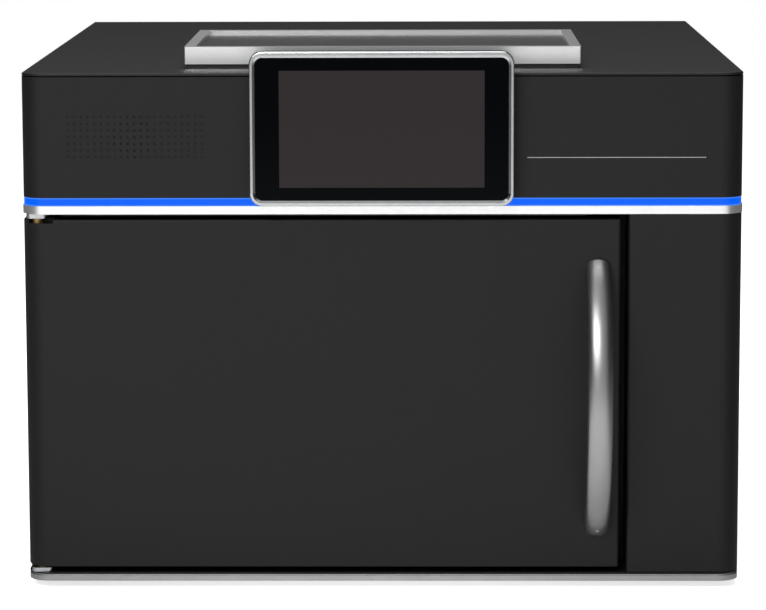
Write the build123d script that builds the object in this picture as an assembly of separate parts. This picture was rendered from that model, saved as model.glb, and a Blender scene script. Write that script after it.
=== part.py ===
"""Benchtop microwave muffle furnace, modelled piece by piece in millimetres.

The origin is on the bench under the middle of the whole furnace. +Z is up and the door faces -Y.
The sizes come first, then the places worked out from them, then one function for each sub-part.
"""

from build123d import *
import math
import os

# Overall casing
body_depth = 610.0
corner_radius = 17.0
sheet = 1.5
shell_wall = 2.0
edge_round = 1.2
fold_share = 0.8
cover_share = 0.7
cut_over = 1.0

# Clearances between neighbours
piece_gap = 0.3
slip_gap = 0.1
running_clearance = 0.05

# Heights, counted from the bench upwards
foot_height = 6.0
band_height = 4.1
groove_height = 1.3
sill_height = 1.3
door_bottom_gap = 4.5
door_height = 275.4
door_top_gap = 4.4
waist_height = 6.3
strip_height = 6.4
fascia_height = 93.9
cover_seam = 0.9
cover_thickness = 2.0

# Feet, base and waist
foot_radius = 16.0
foot_taper = 3.0
foot_inset = 60.0
groove_inset = 1.2
waist_width = 10.0
waist_proud = 0.5
strip_width = 5.0
strip_inset = 0.3
shell_flange = 14.0
cover_inset = 6.0
side_flange = 12.0
lip_height = 1.6
lip_setback = 3.0
lip_from_side = 30.0
latch_recess = 33.6
lip_overlap = 10.0

# Air slots in the sides and the back
slot_length = 44.0
slot_width = 4.0
slot_pitch = 12.0
slot_rows = 8
slot_columns = 2
slot_column_pitch = 60.0
slot_from_back = 70.0
slot_from_floor = 40.0
back_slot_columns = 4
back_slot_inset = 62.0

# Door and column
column_width = 88.6
column_gap = 6.1
door_depth = 45.0
frame_gap = 3.0
frame_plate = 2.0
door_edge_radius = 2.5
core_gap = 6.0

# Hinge
pin_inset = 11.0
pin_radius = 3.0
bush_radius = 4.75
bush_length = 16.0
pin_end_gap = 1.0
arm_width = 16.0
upper_arm_thickness = 3.6
lower_arm_thickness = 3.1
arm_nose = 8.0
arm_nose_radius = 3.6
arm_tail = 8.0
notch_width = 19.0
notch_height = 2.8
notch_side = 1.0

# Handle
handle_low = 24.6
handle_high = 30.2
handle_from_edge = 17.4
handle_width = 20.3
handle_thickness = 13.0
handle_reach = 54.0
handle_end_inset = 8.0
handle_screw_radius = 2.5
handle_screw_depth = 8.0
handle_hole_depth = 9.0
screw_head_radius = 4.5
screw_head_height = 3.0

# Heated chamber
chamber_width = 200.0
chamber_height = 120.0
chamber_depth = 225.0
board_thickness = 50.0
cavity_wall = 1.5
mouth_rim = 20.0
mouth_corner = 4.0
plug_depth = 38.0
plug_clearance = 9.0
plug_taper = 3.0
plug_edge = 3.0
seal_width = 8.0
seal_clearance = 6.0
seal_corner = 12.0
heater_thickness = 6.0
heater_margin = 12.0
hearth_thickness = 8.0
hearth_margin = 10.0
hearth_corner = 6.0
choke_slot_length = 14.0
choke_slot_width = 2.4
choke_pitch = 20.0
choke_offset = 24.0

# Temperature probe
probe_radius = 3.0
probe_drop = 24.0
probe_reach = 45.0
probe_head_radius = 11.0
probe_head_length = 20.0

# Latch tongue, its lock and its switches
tongue_thickness = 4.0
tongue_height = 30.0
tongue_reach = 35.0
tongue_from_edge = 15.0
tongue_foot = 10.0
tongue_nose = 4.0
tongue_slot_left = 2.0
tongue_slot_right = 7.0
tongue_slot_over = 3.0
bolt_radius = 3.0
bolt_length = 60.0
bolt_setback = 17.5
bolt_standoff = 6.2
bolt_show = 3.0
bolt_window_clearance = 1.2
bolt_chamfer = 0.8
solenoid_length = 46.0
solenoid_size = 34.0
solenoid_chamfer = 5.0
switch_from_tongue = 9.0
switch_size = 10.0
switch_depth = 20.0
switch_thickness = 6.0
switch_pitch = 24.0
plunger_radius = 1.4
bracket_flange = 14.0

# Flue and exhaust
flue_bore = 15.0
flue_wall = 4.0
flue_setback = 120.0
flue_top_gap = 4.0
duct_radius = 25.0
duct_wall = 1.5
duct_bend = 46.0
duct_height = 52.0
duct_overlap = 14.0
collar_length = 35.0
collar_flange = 36.0

# Screen
screen_width = 204.0
screen_height = 119.3
screen_lift = 1.5
screen_corner = 10.0
screen_depth = 14.0
screen_back_round = 3.0
bezel_depth = 4.0
bezel_side = 4.2
bezel_top = 4.7
bezel_round = 1.2
bezel_slope = 1.8
glass_thickness = 2.0
glass_recess = 1.2
boss_side = 16.0
boss_end = 13.9
boss_depth = 22.0
lcd_side = 19.0
lcd_end = 10.7
lcd_thickness = 3.0

# Loudspeaker and its holes
speaker_inset = 88.7
speaker_drop = 46.3
hole_pitch = 5.2
hole_radius = 1.1
hole_ring = 3.2
speaker_radius = 27.0
speaker_flange = 3.0
cone_depth = 18.0
cone_end = 12.0
magnet_radius = 14.0
magnet_depth = 10.0

# Cooling tray on the top
tray_width = 311.6
tray_depth = 197.0
tray_height = 13.6
tray_setback = 49.0
tray_bar = 8.8
tray_corner = 1.0
tray_recess = 3.5
tray_ledge = 6.0
tray_plate_thickness = 8.0
tray_base_height = 3.2
tray_base_inset = 2.0

# Cooling fans in the back
fan_size = 70.0
fan_corner = 5.0
fan_depth = 25.0
fan_bore = 33.0
fan_hub = 14.0
fan_blades = 7
fan_seat = 4.0
fan_strut = 4.0
fan_end_gap = 1.0
fan_front_gap = 3.0
fan_shaft = 2.5
shaft_stop = 5.0
blade_root_chord = 15.0
blade_tip_chord = 17.0
blade_root_angle = 48.0
blade_tip_angle = 62.0
blade_thickness = 1.6
blade_tip_gap = 2.4
fan_inset = 84.0
fan_low = 140.0
fan_pitch = 86.0
guard_rings = 4
guard_wire = 2.0
guard_over = 3.0
guard_spoke = 3.0

# Microwave source
waveguide_depth = 46.0
waveguide_height = 100.0
waveguide_width = 90.0
waveguide_rim = 12.0
waveguide_bore = 12.0
magnetron_setback = 86.0
magnetron_size = 88.0
magnetron_length = 62.0
yoke_wall = 4.0
anode_radius = 20.0
antenna_radius = 7.0
antenna_length = 24.0
filament_size = 50.0
filament_length = 28.0
service_room = 38.35
fin_count = 6
fin_thickness = 1.2
fin_edge_gap = 3.0

# Power supply parts
transformer_inset = 84.0
transformer_width = 100.0
transformer_depth = 86.0
transformer_height = 84.0
transformer_setback = 380.0
core_leg = 25.0
coil_gap = 1.0
coil_width = 72.0
coil_overhang = 12.5
coil_round = 6.0
capacitor_inset = 260.0
capacitor_from_back = 190.0
capacitor_radius = 26.0
capacitor_height = 96.0
capacitor_round = 3.0
terminal_width = 6.0
terminal_thickness = 1.2
terminal_height = 9.0
terminal_pitch = 20.0

# Control board
board_inset = 170.0
board_width = 140.0
board_depth = 150.0
board_setback = 60.0
board_sheet = 1.6
post_height = 6.0
post_radius = 3.0
post_inset = 6.0
components = ((30.0, 40.0, 30.0, 6.0), (90.0, 90.0, 40.0, 12.0), (40.0, 110.0, 24.0, 16.0))

# Power inlet and rocker
inlet_inset = 260.0
inlet_z = 80.0
inlet_width = 48.0
inlet_height = 76.0
inlet_corner = 4.0
inlet_flange = 3.0
inlet_rim = 4.0
inlet_depth = 46.0
socket_width = 30.0
socket_height = 21.0
socket_depth = 18.0
socket_corner = 3.0
socket_rise = 24.0
blade_width = 2.0
blade_height = 5.0
blade_setback = 3.0
blades = ((0.0, 4.0), (-7.0, -3.0), (7.0, -3.0))
rocker_width = 20.0
rocker_length = 26.0
rocker_crown = 1.6
rocker_valley = 0.4
rocker_body = 6.0
rocker_drop = 22.0
rocker_proud = 1.0
rocker_tilt = 7.0
rocker_clearance = 1.2
rocker_well = 14.0

# Data sockets
port_inset = 130.0
port_width = 92.0
port_height = 24.0
port_plate = 2.0
port_rim = 6.0
port_depth = 16.0
port_recess = 3.0
ports = ((-28.0, 16.0, 13.0), (-4.0, 14.0, 6.0), (16.0, 14.0, 6.0), (33.0, 9.0, 9.0))

# Panel screws
screw_radius = 3.5
screw_top_radius = 2.5
screw_height = 2.2
screw_edge = 10.0
screw_spread = 140.0
side_screws = 4

# Heights of the layers
band_top = foot_height + band_height
groove_top = band_top + groove_height
floor = groove_top + sill_height
door_low = floor + door_bottom_gap
door_high = door_low + door_height
door_middle = (door_low + door_high) / 2
waist_low = door_high + door_top_gap
waist_high = waist_low + waist_height
deck_top = waist_low + shell_wall
strip_high = waist_high + strip_height
fascia_high = strip_high + fascia_height
fascia_middle = (strip_high + fascia_high) / 2
cover_low = fascia_high + cover_seam
cover_high = cover_low + cover_thickness
tray_low = cover_high + tray_base_height
tray_high = tray_low + tray_height
ledge_top = tray_high - tray_recess - tray_plate_thickness
screen_low = waist_high + screen_lift
screen_high = screen_low + screen_height
screen_middle = (screen_low + screen_high) / 2

# Planes from the front to the back
overall_depth = handle_reach + body_depth + collar_length
front = -overall_depth / 2 + handle_reach
back = front + body_depth
panel_back = back - shell_wall
door_back = front + door_depth
frame_front = door_back + frame_gap
frame_back = frame_front + frame_plate
chamber_back = frame_back + chamber_depth
board_back = chamber_back + board_thickness
pod_front = front - screen_depth - piece_gap
pod_back = front - piece_gap
tray_front = front + tray_setback

# Places across the width, from the chamber in the middle of the door out to the right side
chamber_x = -(column_width + column_gap) / 2
chamber_left = chamber_x - chamber_width / 2
chamber_right = chamber_x + chamber_width / 2
cavity_left = chamber_left - board_thickness - cavity_wall
cavity_right = chamber_right + board_thickness + cavity_wall
magnetron_left = cavity_right + waveguide_depth
magnetron_right = magnetron_left + magnetron_length
half = magnetron_right + filament_length + service_room + sheet
body_width = 2 * half
inner_half = half - shell_wall
column_left = half - column_width
door_left = -half
door_right = column_left - column_gap
lip_left = -half + lip_from_side
lip_right = column_left - latch_recess
transformer_x = half - transformer_inset
capacitor_x = half - capacitor_inset
board_left = half - board_inset
speaker_x = -half + speaker_inset
fan_x = half - fan_inset
inlet_x = half - inlet_inset
port_x = -half + port_inset
back_slot_x = -half + back_slot_inset

# Heights that follow the door's middle and the screen's own frame
chamber_low = door_middle - chamber_height / 2
chamber_high = door_middle + chamber_height / 2
cavity_low = chamber_low - board_thickness - cavity_wall
cavity_high = chamber_high + board_thickness + cavity_wall

lcd_width = screen_width - 2 * lcd_side
lcd_height = screen_height - 2 * lcd_end
boss_width = screen_width - 2 * boss_side
boss_height = fascia_height - 2 * boss_end
handle_span = door_height - handle_low - handle_high

# Axes and centres
pin_x = door_left + pin_inset
pin_y = front + pin_inset
handle_x = door_right - handle_from_edge
handle_bottom = door_low + handle_low
handle_screws = (handle_bottom + handle_end_inset, handle_bottom + handle_span - handle_end_inset)
tongue_x = door_right - tongue_from_edge
tongue_left = tongue_x - tongue_thickness / 2
tongue_right = tongue_x + tongue_thickness / 2
tongue_tip = door_back + tongue_reach
bolt_y = frame_back + bolt_setback
flue_y = frame_back + flue_setback
flue_radius = flue_bore + flue_wall
duct_z = waist_high + duct_height
probe_z = chamber_high - probe_drop
magnetron_y = frame_back + magnetron_setback
speaker_z = fascia_high - speaker_drop
rocker_z = inlet_z + inlet_height / 2 - rocker_drop
socket_z = inlet_z - inlet_height / 2 + socket_rise
fan_heights = (fan_low, fan_low + fan_pitch)
fan_start = panel_back - fan_depth

os.makedirs("parts", exist_ok=True)


def save(name, shape):
    """Write one sub-part to its own file."""
    shape.label = name
    export_step(shape, "parts/" + name + ".step")


def block(x, y, z):
    """A box from three (low, high) pairs."""
    size = (x[1] - x[0], y[1] - y[0], z[1] - z[0])
    return Pos(x[0], y[0], z[0]) * Box(*size, align=(Align.MIN, Align.MIN, Align.MIN))


def around(centre, width):
    """The (low, high) pair of a width about a centre."""
    return (centre - width / 2, centre + width / 2)


def grown(span, by):
    """A (low, high) pair made longer at both ends."""
    return (span[0] - by, span[1] + by)


def rod_x(radius, span, y, z):
    """A cylinder along X."""
    turned = Rot(0, 90, 0) * Cylinder(radius, span[1] - span[0])
    return Pos((span[0] + span[1]) / 2, y, z) * turned


def rod_y(radius, span, x, z):
    """A cylinder along Y."""
    turned = Rot(90, 0, 0) * Cylinder(radius, span[1] - span[0])
    return Pos(x, (span[0] + span[1]) / 2, z) * turned


def rod_z(radius, span, x, y):
    """A cylinder along Z."""
    return Pos(x, y, (span[0] + span[1]) / 2) * Cylinder(radius, span[1] - span[0])


def plan(inset, high=back):
    """The casing seen from above, drawn in by inset, with its two front corners rounded."""
    low = front + inset
    face = Pos(0, (low + high) / 2) * Rectangle(body_width - 2 * inset, high - low)
    corners = face.vertices().group_by(Axis.Y)[0]
    return fillet(corners, max(corner_radius - inset, cut_over))


def slab(face, z):
    """A flat outline raised between two heights."""
    return extrude(Pos(0, 0, z[0]) * face, z[1] - z[0])


def wrap(inset, width, z):
    """A strip that runs up the left side, across the front and down the right side."""
    outer = slab(plan(inset), z)
    inner = slab(plan(inset + width, back + cut_over), z)
    return outer - inner


def behind_room(z):
    """The room between the side legs that the back panel takes."""
    x = (-inner_half, inner_half)
    return block(x, (panel_back, back + cut_over), z)


def face_panel(x, z, y, corner):
    """A rounded rectangle facing the front, from y[0] to y[1]."""
    outline = RectangleRounded(x[1] - x[0], z[1] - z[0], corner)
    middle = Pos((x[0] + x[1]) / 2, y[1], (z[0] + z[1]) / 2)
    return extrude(middle * Rot(90, 0, 0) * outline, y[1] - y[0])


def ring_panel(x, z, y, corner, width):
    """A rounded picture frame facing the front."""
    outer = face_panel(x, z, y, corner)
    inner_corner = max(corner - width, cut_over)
    return outer - face_panel(grown(x, -width), grown(z, -width), grown(y, cut_over), inner_corner)


def slot_cutter(x, y, z, turn):
    """A slot that cuts through a panel facing the side or the back."""
    face = Pos(x, y, z) * turn * SlotOverall(slot_length, slot_width)
    return extrude(face, 2 * shell_wall, both=True)


def make_feet():
    """Four tapered rubber feet, set back under the base."""
    foot = Cone(foot_radius - foot_taper, foot_radius, foot_height)
    x = half - foot_inset
    places = [(px, py) for px in (-x, x) for py in (front + foot_inset, back - foot_inset)]
    return Compound([Pos(px, py, foot_height / 2) * foot for px, py in places])


def make_base_plate():
    """The bright base, with a narrow neck that makes the dark groove below the sill."""
    band = slab(plan(0), (foot_height, band_top))
    neck = slab(plan(groove_inset), (band_top, groove_top))
    return band + neck


def make_chassis_pan():
    """The sill plate that every lower panel stands on."""
    return slab(plan(0), (groove_top, floor))


def make_side_panel(side):
    """A lower side panel with its two inward flanges and air slots near the back."""
    wall_x = sorted((side * half, side * (half - sheet)))
    flange_x = sorted((side * half, side * (half - side_flange)))
    run = (frame_back + arm_tail + piece_gap, panel_back - piece_gap)
    panel = block(wall_x, (frame_front, back), (floor, waist_low))
    panel += block(flange_x, run, (floor, floor + sheet))
    panel += block(flange_x, run, (waist_low - sheet, waist_low))
    for column in range(slot_columns):
        for row in range(slot_rows):
            y = back - slot_from_back - column * slot_column_pitch
            z = floor + slot_from_floor + row * slot_pitch
            panel -= slot_cutter(side * half, y, z, Rot(0, 90, 0) * Rot(0, 0, 90))
    return panel


def rounded_plan(x, y, left_radius, right_radius):
    """A rectangle seen from above with its two front corners rounded by different radii."""
    face = Pos((x[0] + x[1]) / 2, (y[0] + y[1]) / 2) * Rectangle(x[1] - x[0], y[1] - y[0])
    left = face.vertices().group_by(Axis.Y)[0].sort_by(Axis.X)[0]
    face = fillet([left], left_radius)
    right = face.vertices().sort_by_distance((x[1], y[0], 0))[0]
    return fillet([right], right_radius)


def folded_pan(x, y, z, left_radius, right_radius):
    """A folded front pan, open at the back, with rounded upright edges."""
    solid = slab(rounded_plan(x, y, left_radius, right_radius), z)
    layers = solid.edges().filter_by(Plane.XY).group_by(Axis.Z)
    rims = [edge for layer in (layers[0], layers[-1]) for edge in layer]
    rims = [edge for edge in rims if edge.bounding_box().max.Y < y[1] - sheet / 2]
    solid = fillet(rims, min(edge_round, fold_share * sheet))
    inner_left = max(left_radius - sheet, edge_round)
    inner_right = max(right_radius - sheet, edge_round)
    inner_y = (y[0] + sheet, y[1] + cut_over)
    inner = rounded_plan(grown(x, -sheet), inner_y, inner_left, inner_right)
    return solid - slab(inner, grown(z, -sheet))


def make_right_front_panel():
    """The fixed column beside the door, a pan as deep as the door and its gap."""
    x = (column_left, half)
    y = (front, frame_front)
    return folded_pan(x, y, (floor, waist_low), door_edge_radius, corner_radius)


def make_front_frame():
    """The steel face plate that the door closes on, with the chamber mouth cut out."""
    x = (-half + sheet, half - sheet)
    top = waist_low - lip_height
    through = (frame_front - cut_over, frame_back + cut_over)
    plate = block(x, (frame_front, frame_back), (floor, top))
    mouth_x = around(chamber_x, chamber_width + 2 * mouth_rim)
    mouth_z = around(door_middle, chamber_height + 2 * mouth_rim)
    plate -= face_panel(mouth_x, mouth_z, through, mouth_corner)
    slot_x = (tongue_left - tongue_slot_left, tongue_right + tongue_slot_right)
    slot_z = around(door_middle, tongue_height + 2 * tongue_slot_over)
    plate -= face_panel(slot_x, slot_z, through, tongue_slot_left)
    arm_x = (-half, pin_x - arm_nose + arm_width + piece_gap)
    low_arm = (floor - cut_over, floor + lower_arm_thickness + piece_gap)
    high_arm = (waist_low - upper_arm_thickness - piece_gap, waist_low)
    return plate - block(arm_x, through, low_arm) - block(arm_x, through, high_arm)


def make_waist_trim():
    """The bright bar round the waist of the casing."""
    z = (waist_low, waist_high)
    outer = slab(plan(-waist_proud), z)
    inner = slab(plan(waist_width, back + cut_over), z)
    return outer - inner - behind_room(z)


def make_mid_deck():
    """The deck inside the waist bar, with a lip that shows above the door."""
    deck = slab(plan(waist_width, panel_back), (waist_low, deck_top))
    deck -= rod_z(duct_radius + piece_gap, grown((waist_low, deck_top), cut_over), chamber_x, flue_y)
    lip_y = (front + lip_setback, frame_back + lip_overlap)
    return deck + block((lip_left, lip_right), lip_y, (waist_low - lip_height, waist_low))


def make_light_strip():
    """The light guide between the waist bar and the upper shell."""
    z = (waist_high, strip_high)
    return wrap(strip_inset, strip_width, z) - behind_room(z)


def hole_places():
    """Columns and rows of the round patch of open loudspeaker holes."""
    reach = int(hole_ring)
    grid = [(c, r) for c in range(-reach, reach + 1) for r in range(-reach, reach + 1)]
    return [(c, r) for c, r in grid if math.hypot(c, r) <= hole_ring]


def make_upper_shell():
    """The upper casing: one sheet folded round the front, with a flange for the cover."""
    shell = wrap(0, shell_wall, (strip_high, fascia_high))
    shell += wrap(0, shell_flange, (fascia_high - sheet, fascia_high))
    drill = grown((front, front + shell_wall), cut_over)
    boss_x = around(0, boss_width + 2 * piece_gap)
    boss_z = around(fascia_middle, boss_height + 2 * piece_gap)
    shell -= block(boss_x, drill, boss_z)
    for column, row in hole_places():
        x = speaker_x + column * hole_pitch
        z = speaker_z + row * hole_pitch
        shell -= rod_y(hole_radius, drill, x, z)
    return shell - behind_room(grown((strip_high, fascia_high), cut_over))


def make_top_cover():
    """The top sheet: its edge stands off the shell by a thin dark seam."""
    cover = slab(plan(0), (cover_low, cover_high))
    top_edges = cover.edges().group_by(Axis.Z)[-1]
    cover = fillet(top_edges, min(edge_round, cover_share * cover_thickness))
    return cover + slab(plan(cover_inset, back - cover_inset), (fascia_high, cover_low))


def back_slot_places():
    """Centres of the air slots low in the back panel."""
    columns = [back_slot_x + number * (slot_length + slot_pitch) for number in range(back_slot_columns)]
    rows = [floor + slot_from_floor + number * slot_pitch for number in range(slot_rows)]
    return [(x, z) for x in columns for z in rows]


def make_rear_panel():
    """The back plate with its cut-outs for the exhaust, fans, power inlet and data sockets."""
    x = (-inner_half + piece_gap, inner_half - piece_gap)
    through = (panel_back - cut_over, back + cut_over)
    panel = block(x, (panel_back, back), (floor, fascia_high))
    panel -= rod_y(duct_radius + piece_gap, through, chamber_x, duct_z)
    for z in fan_heights:
        panel -= rod_y(fan_bore, through, fan_x, z)
    inlet_z_span = around(inlet_z, inlet_height - 2 * inlet_rim)
    panel -= block(around(inlet_x, inlet_width - 2 * inlet_rim), through, inlet_z_span)
    port_x_span = around(port_x, port_width - 2 * port_rim)
    panel -= block(port_x_span, through, around(duct_z, port_height - port_rim))
    for x_here, z_here in back_slot_places():
        panel -= slot_cutter(x_here, back, z_here, Rot(90, 0, 0))
    return panel


def screw_places_back():
    """Where screws hold the back panel: down both sides and along its top and bottom."""
    side_x = inner_half - screw_edge
    low = floor + screw_edge
    high = fascia_high - screw_edge
    step = (high - low) / (side_screws - 1)
    places = [(side * side_x, low + number * step) for side in (-1, 1) for number in range(side_screws)]
    across = [(x, z) for x in (-screw_spread, 0.0, screw_spread) for z in (low, high)]
    return places + across


def screw_places_side():
    """Where screws hold a lower side panel to its two flanges."""
    near = frame_back + 3 * screw_edge
    far = back - 2 * screw_edge
    rows = (floor + side_flange / 2, waist_low - side_flange / 2)
    return [(y, z) for y in (near, (near + far) / 2, far) for z in rows]


def make_panel_screws():
    """Pan-head screws on the back and on both lower side panels."""
    head = Pos(0, 0, screw_height / 2) * Cone(screw_radius, screw_top_radius, screw_height)
    screws = [Pos(x, back, z) * Rot(-90, 0, 0) * head for x, z in screw_places_back()]
    for side in (-1, 1):
        turned = Rot(0, side * 90, 0) * head
        screws += [Pos(side * half, y, z) * turned for y, z in screw_places_side()]
    return Compound(screws)


def hinge_arm(z, pin_span):
    """A hinge arm that carries the door's pin in front of the frame."""
    x = (pin_x - arm_nose, pin_x - arm_nose + arm_width)
    arm = block(x, (pin_y - arm_nose, frame_back + arm_tail), z)
    nose = arm.edges().filter_by(Axis.Z).group_by(Axis.Y)[0]
    return fillet(nose, arm_nose_radius) + rod_z(pin_radius, pin_span, pin_x, pin_y)


def make_hinge_arms():
    """The lower and upper hinge arms, each with its riveted pin."""
    low_arm = (floor, floor + lower_arm_thickness)
    high_arm = (waist_low - upper_arm_thickness, waist_low)
    low = hinge_arm(low_arm, (floor, door_low + bush_length - pin_end_gap))
    high = hinge_arm(high_arm, (door_high - bush_length + pin_end_gap, waist_low))
    return Compound([low, high])


def make_hinge_bushes():
    """Two bushes in the door that turn on the hinge pins."""
    bore = pin_radius + running_clearance
    low = (floor + lower_arm_thickness, door_low + bush_length)
    high = (door_high - bush_length, door_high)
    bushes = []
    for span in (low, high):
        hole = rod_z(bore, grown(span, cut_over), pin_x, pin_y)
        bushes.append(rod_z(bush_radius, span, pin_x, pin_y) - hole)
    return Compound(bushes)


def make_door_skin():
    """The painted door pan, notched at the upper hinge and drilled for its bushes and handle."""
    x = (door_left, door_right)
    z = (door_low, door_high)
    skin = folded_pan(x, (front, door_back), z, corner_radius, door_edge_radius)
    skin -= rod_z(bush_radius + running_clearance, grown(z, cut_over), pin_x, pin_y)
    notch_left = pin_x - bush_radius - notch_side
    notch_y = (front - cut_over, pin_y + bush_radius)
    notch_z = (door_high - notch_height, door_high + cut_over)
    skin -= block((notch_left, notch_left + notch_width), notch_y, notch_z)
    drill = grown((front, front + sheet), cut_over)
    for screw_z in handle_screws:
        skin -= rod_y(handle_screw_radius + piece_gap, drill, handle_x, screw_z)
    return skin


def choke_places():
    """Centres of the choke slots along a rectangle round the mouth, with each one's turn."""
    width = chamber_width + 2 * (mouth_rim + choke_offset)
    height = chamber_height + 2 * (mouth_rim + choke_offset)
    across = int(width / choke_pitch)
    upright = int(height / choke_pitch)
    places = []
    for step in range(across):
        x = (step - (across - 1) / 2) * choke_pitch
        places += [(x, height / 2, 0), (x, -height / 2, 0)]
    for step in range(upright):
        z = (step - (upright - 1) / 2) * choke_pitch
        places += [(width / 2, z, 90), (-width / 2, z, 90)]
    return places


def make_door_inner_panel():
    """The door's steel back plate, with a rectangle of choke slots round the plug."""
    x = grown((door_left, door_right), -sheet - slip_gap)
    z = grown((door_low, door_high), -sheet - slip_gap)
    plate = block(x, (door_back - sheet, door_back), z)
    slot = SlotOverall(choke_slot_length, choke_slot_width)
    for dx, dz, turn in choke_places():
        place = Pos(chamber_x + dx, door_back, door_middle + dz)
        plate -= extrude(place * Rot(90, 0, 0) * Rot(0, 0, turn) * slot, 2 * sheet, both=True)
    return plate


def make_door_core():
    """The mineral wool slab between the door's skin and its back plate."""
    x = (pin_x + bush_radius + core_gap, door_right - core_gap)
    y = (front + sheet + screw_head_height + slip_gap, door_back - sheet - slip_gap)
    return block(x, y, grown((door_low, door_high), -core_gap))


def make_door_plug():
    """The tapered ceramic plug that fills the chamber mouth."""
    width = chamber_width - 2 * plug_clearance
    height = chamber_height - 2 * plug_clearance
    face = Pos(chamber_x, door_back, door_middle) * Rot(-90, 0, 0) * Rectangle(width, height)
    plug = extrude(face, plug_depth, taper=plug_taper)
    return fillet(plug.edges().group_by(Axis.Y)[-1], plug_edge)


def make_door_seal():
    """The braided seal that meets the frame all round the mouth."""
    margin = mouth_rim + seal_clearance + seal_width
    x = around(chamber_x, chamber_width + 2 * margin)
    z = around(door_middle, chamber_height + 2 * margin)
    return ring_panel(x, z, (door_back, frame_front - piece_gap), seal_corner, seal_width)


def make_door_handle():
    """A bowed oval bar that runs into the door at both ends."""
    half_chord = handle_span / 2 - handle_end_inset
    sag = handle_reach - handle_thickness / 2
    middle = handle_bottom + handle_span / 2
    radius = (half_chord**2 + sag**2) / (2 * sag)
    run_in = handle_thickness / radius
    spread = math.degrees(math.asin(half_chord / radius) + run_in)
    plane = Plane(origin=(handle_x, front - sag + radius, middle), x_dir=(0, -1, 0), z_dir=(1, 0, 0))
    path = plane * CenterArc((0, 0), radius, -spread, 2 * spread)
    section = Plane(origin=path @ 0, x_dir=(1, 0, 0), z_dir=path % 0)
    bar = sweep(section * Ellipse(handle_width / 2, handle_thickness / 2), path=path)
    hidden_z = grown((handle_bottom, handle_bottom + handle_span), handle_span)
    bar -= block(around(handle_x, 2 * handle_width), (front, front + handle_span), hidden_z)
    for z in handle_screws:
        bar -= rod_y(handle_screw_radius, (front - handle_hole_depth, front + cut_over), handle_x, z)
    return bar


def make_handle_screws():
    """The two screws that pass through the skin into the handle."""
    shank = (front - handle_screw_depth, front + sheet)
    head = (front + sheet, front + sheet + screw_head_height)
    thread = handle_screw_radius - running_clearance
    screws = []
    for z in handle_screws:
        screws.append(rod_y(thread, shank, handle_x, z) + rod_y(screw_head_radius, head, handle_x, z))
    return Compound(screws)


def make_door_tongue():
    """The tongue that passes through the frame, with the window for the lock bolt."""
    z = around(door_middle, tongue_height)
    tongue = block((tongue_left, tongue_right), (door_back, tongue_tip), z)
    nose = tongue.edges().filter_by(Axis.X).group_by(Axis.Y)[-1]
    tongue = chamfer(nose, tongue_nose)
    tongue += block((tongue_left - tongue_foot, tongue_left), (door_back, door_back + sheet), z)
    window = 2 * (bolt_radius + bolt_window_clearance)
    through = grown((tongue_left, tongue_right), cut_over)
    return tongue - block(through, around(bolt_y, window), around(door_middle, window))


def make_lock_solenoid():
    """The lock's coil, fixed behind the frame with the bolt's bore through it."""
    start = tongue_right + bolt_standoff + bolt_show
    x = (start, start + solenoid_length)
    y = (frame_back, bolt_y + solenoid_size / 2)
    body = block(x, y, around(door_middle, solenoid_size))
    far_edges = body.edges().filter_by(Axis.X).group_by(Axis.Y)[-1]
    body = chamfer(far_edges, solenoid_chamfer)
    return body - rod_x(bolt_radius + running_clearance, grown(x, cut_over), bolt_y, door_middle)


def make_lock_bolt():
    """The bolt that slides left into the tongue."""
    start = tongue_right + bolt_standoff
    bolt = rod_x(bolt_radius, (start, start + bolt_length), bolt_y, door_middle)
    return chamfer(bolt.edges().group_by(Axis.X)[0], bolt_chamfer)


def make_interlock_switches():
    """Two small switches on a bracket, with plungers that the closed door's tongue holds in."""
    right = tongue_left - switch_from_tongue
    z = around(door_middle, switch_pitch + 2 * switch_size)
    made = block((right - sheet, right), (frame_back, tongue_tip), z)
    made += block((right - bracket_flange, right), (frame_back, frame_back + sheet), z)
    y = (bolt_y - switch_depth / 2, bolt_y + switch_depth / 2)
    plunger = (right + switch_thickness / 2, tongue_left - piece_gap)
    for centre in (door_middle - switch_pitch / 2, door_middle + switch_pitch / 2):
        made += block((right, right + switch_thickness), y, around(centre, switch_size))
        made += rod_x(plunger_radius, plunger, bolt_y - switch_size / 2, centre)
    return made


def board_x():
    """The boards' reach from the left wall of the cavity to the right."""
    return (cavity_left + cavity_wall, cavity_right - cavity_wall)


def make_muffle_floor():
    """The insulation board under the chamber."""
    return block(board_x(), (frame_back, chamber_back), (cavity_low + cavity_wall, chamber_low))


def make_muffle_roof():
    """The insulation board over the chamber, bored for the flue."""
    z = (chamber_high, cavity_high - cavity_wall)
    roof = block(board_x(), (frame_back, chamber_back), z)
    return roof - rod_z(flue_radius + slip_gap, grown(z, cut_over), chamber_x, flue_y)


def make_muffle_sides():
    """The insulation boards to the left and right of the chamber."""
    y = (frame_back, chamber_back)
    z = (chamber_low, chamber_high)
    left = block((cavity_left + cavity_wall, chamber_left), y, z)
    right = block((chamber_right, cavity_right - cavity_wall), y, z)
    return Compound([left, right])


def make_muffle_back():
    """The insulation board behind the chamber, bored for the temperature probe."""
    y = (chamber_back, board_back)
    made = block(board_x(), y, (cavity_low + cavity_wall, cavity_high - cavity_wall))
    return made - rod_y(probe_radius + slip_gap, grown(y, cut_over), chamber_x, probe_z)


def make_heating_plates():
    """Silicon carbide plates that stand against the chamber's side walls."""
    y = (frame_back + plug_depth + heater_margin, chamber_back - heater_margin)
    z = (chamber_low, chamber_high - heater_margin)
    left = block((chamber_left, chamber_left + heater_thickness), y, z)
    right = block((chamber_right - heater_thickness, chamber_right), y, z)
    return Compound([left, right])


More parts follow.
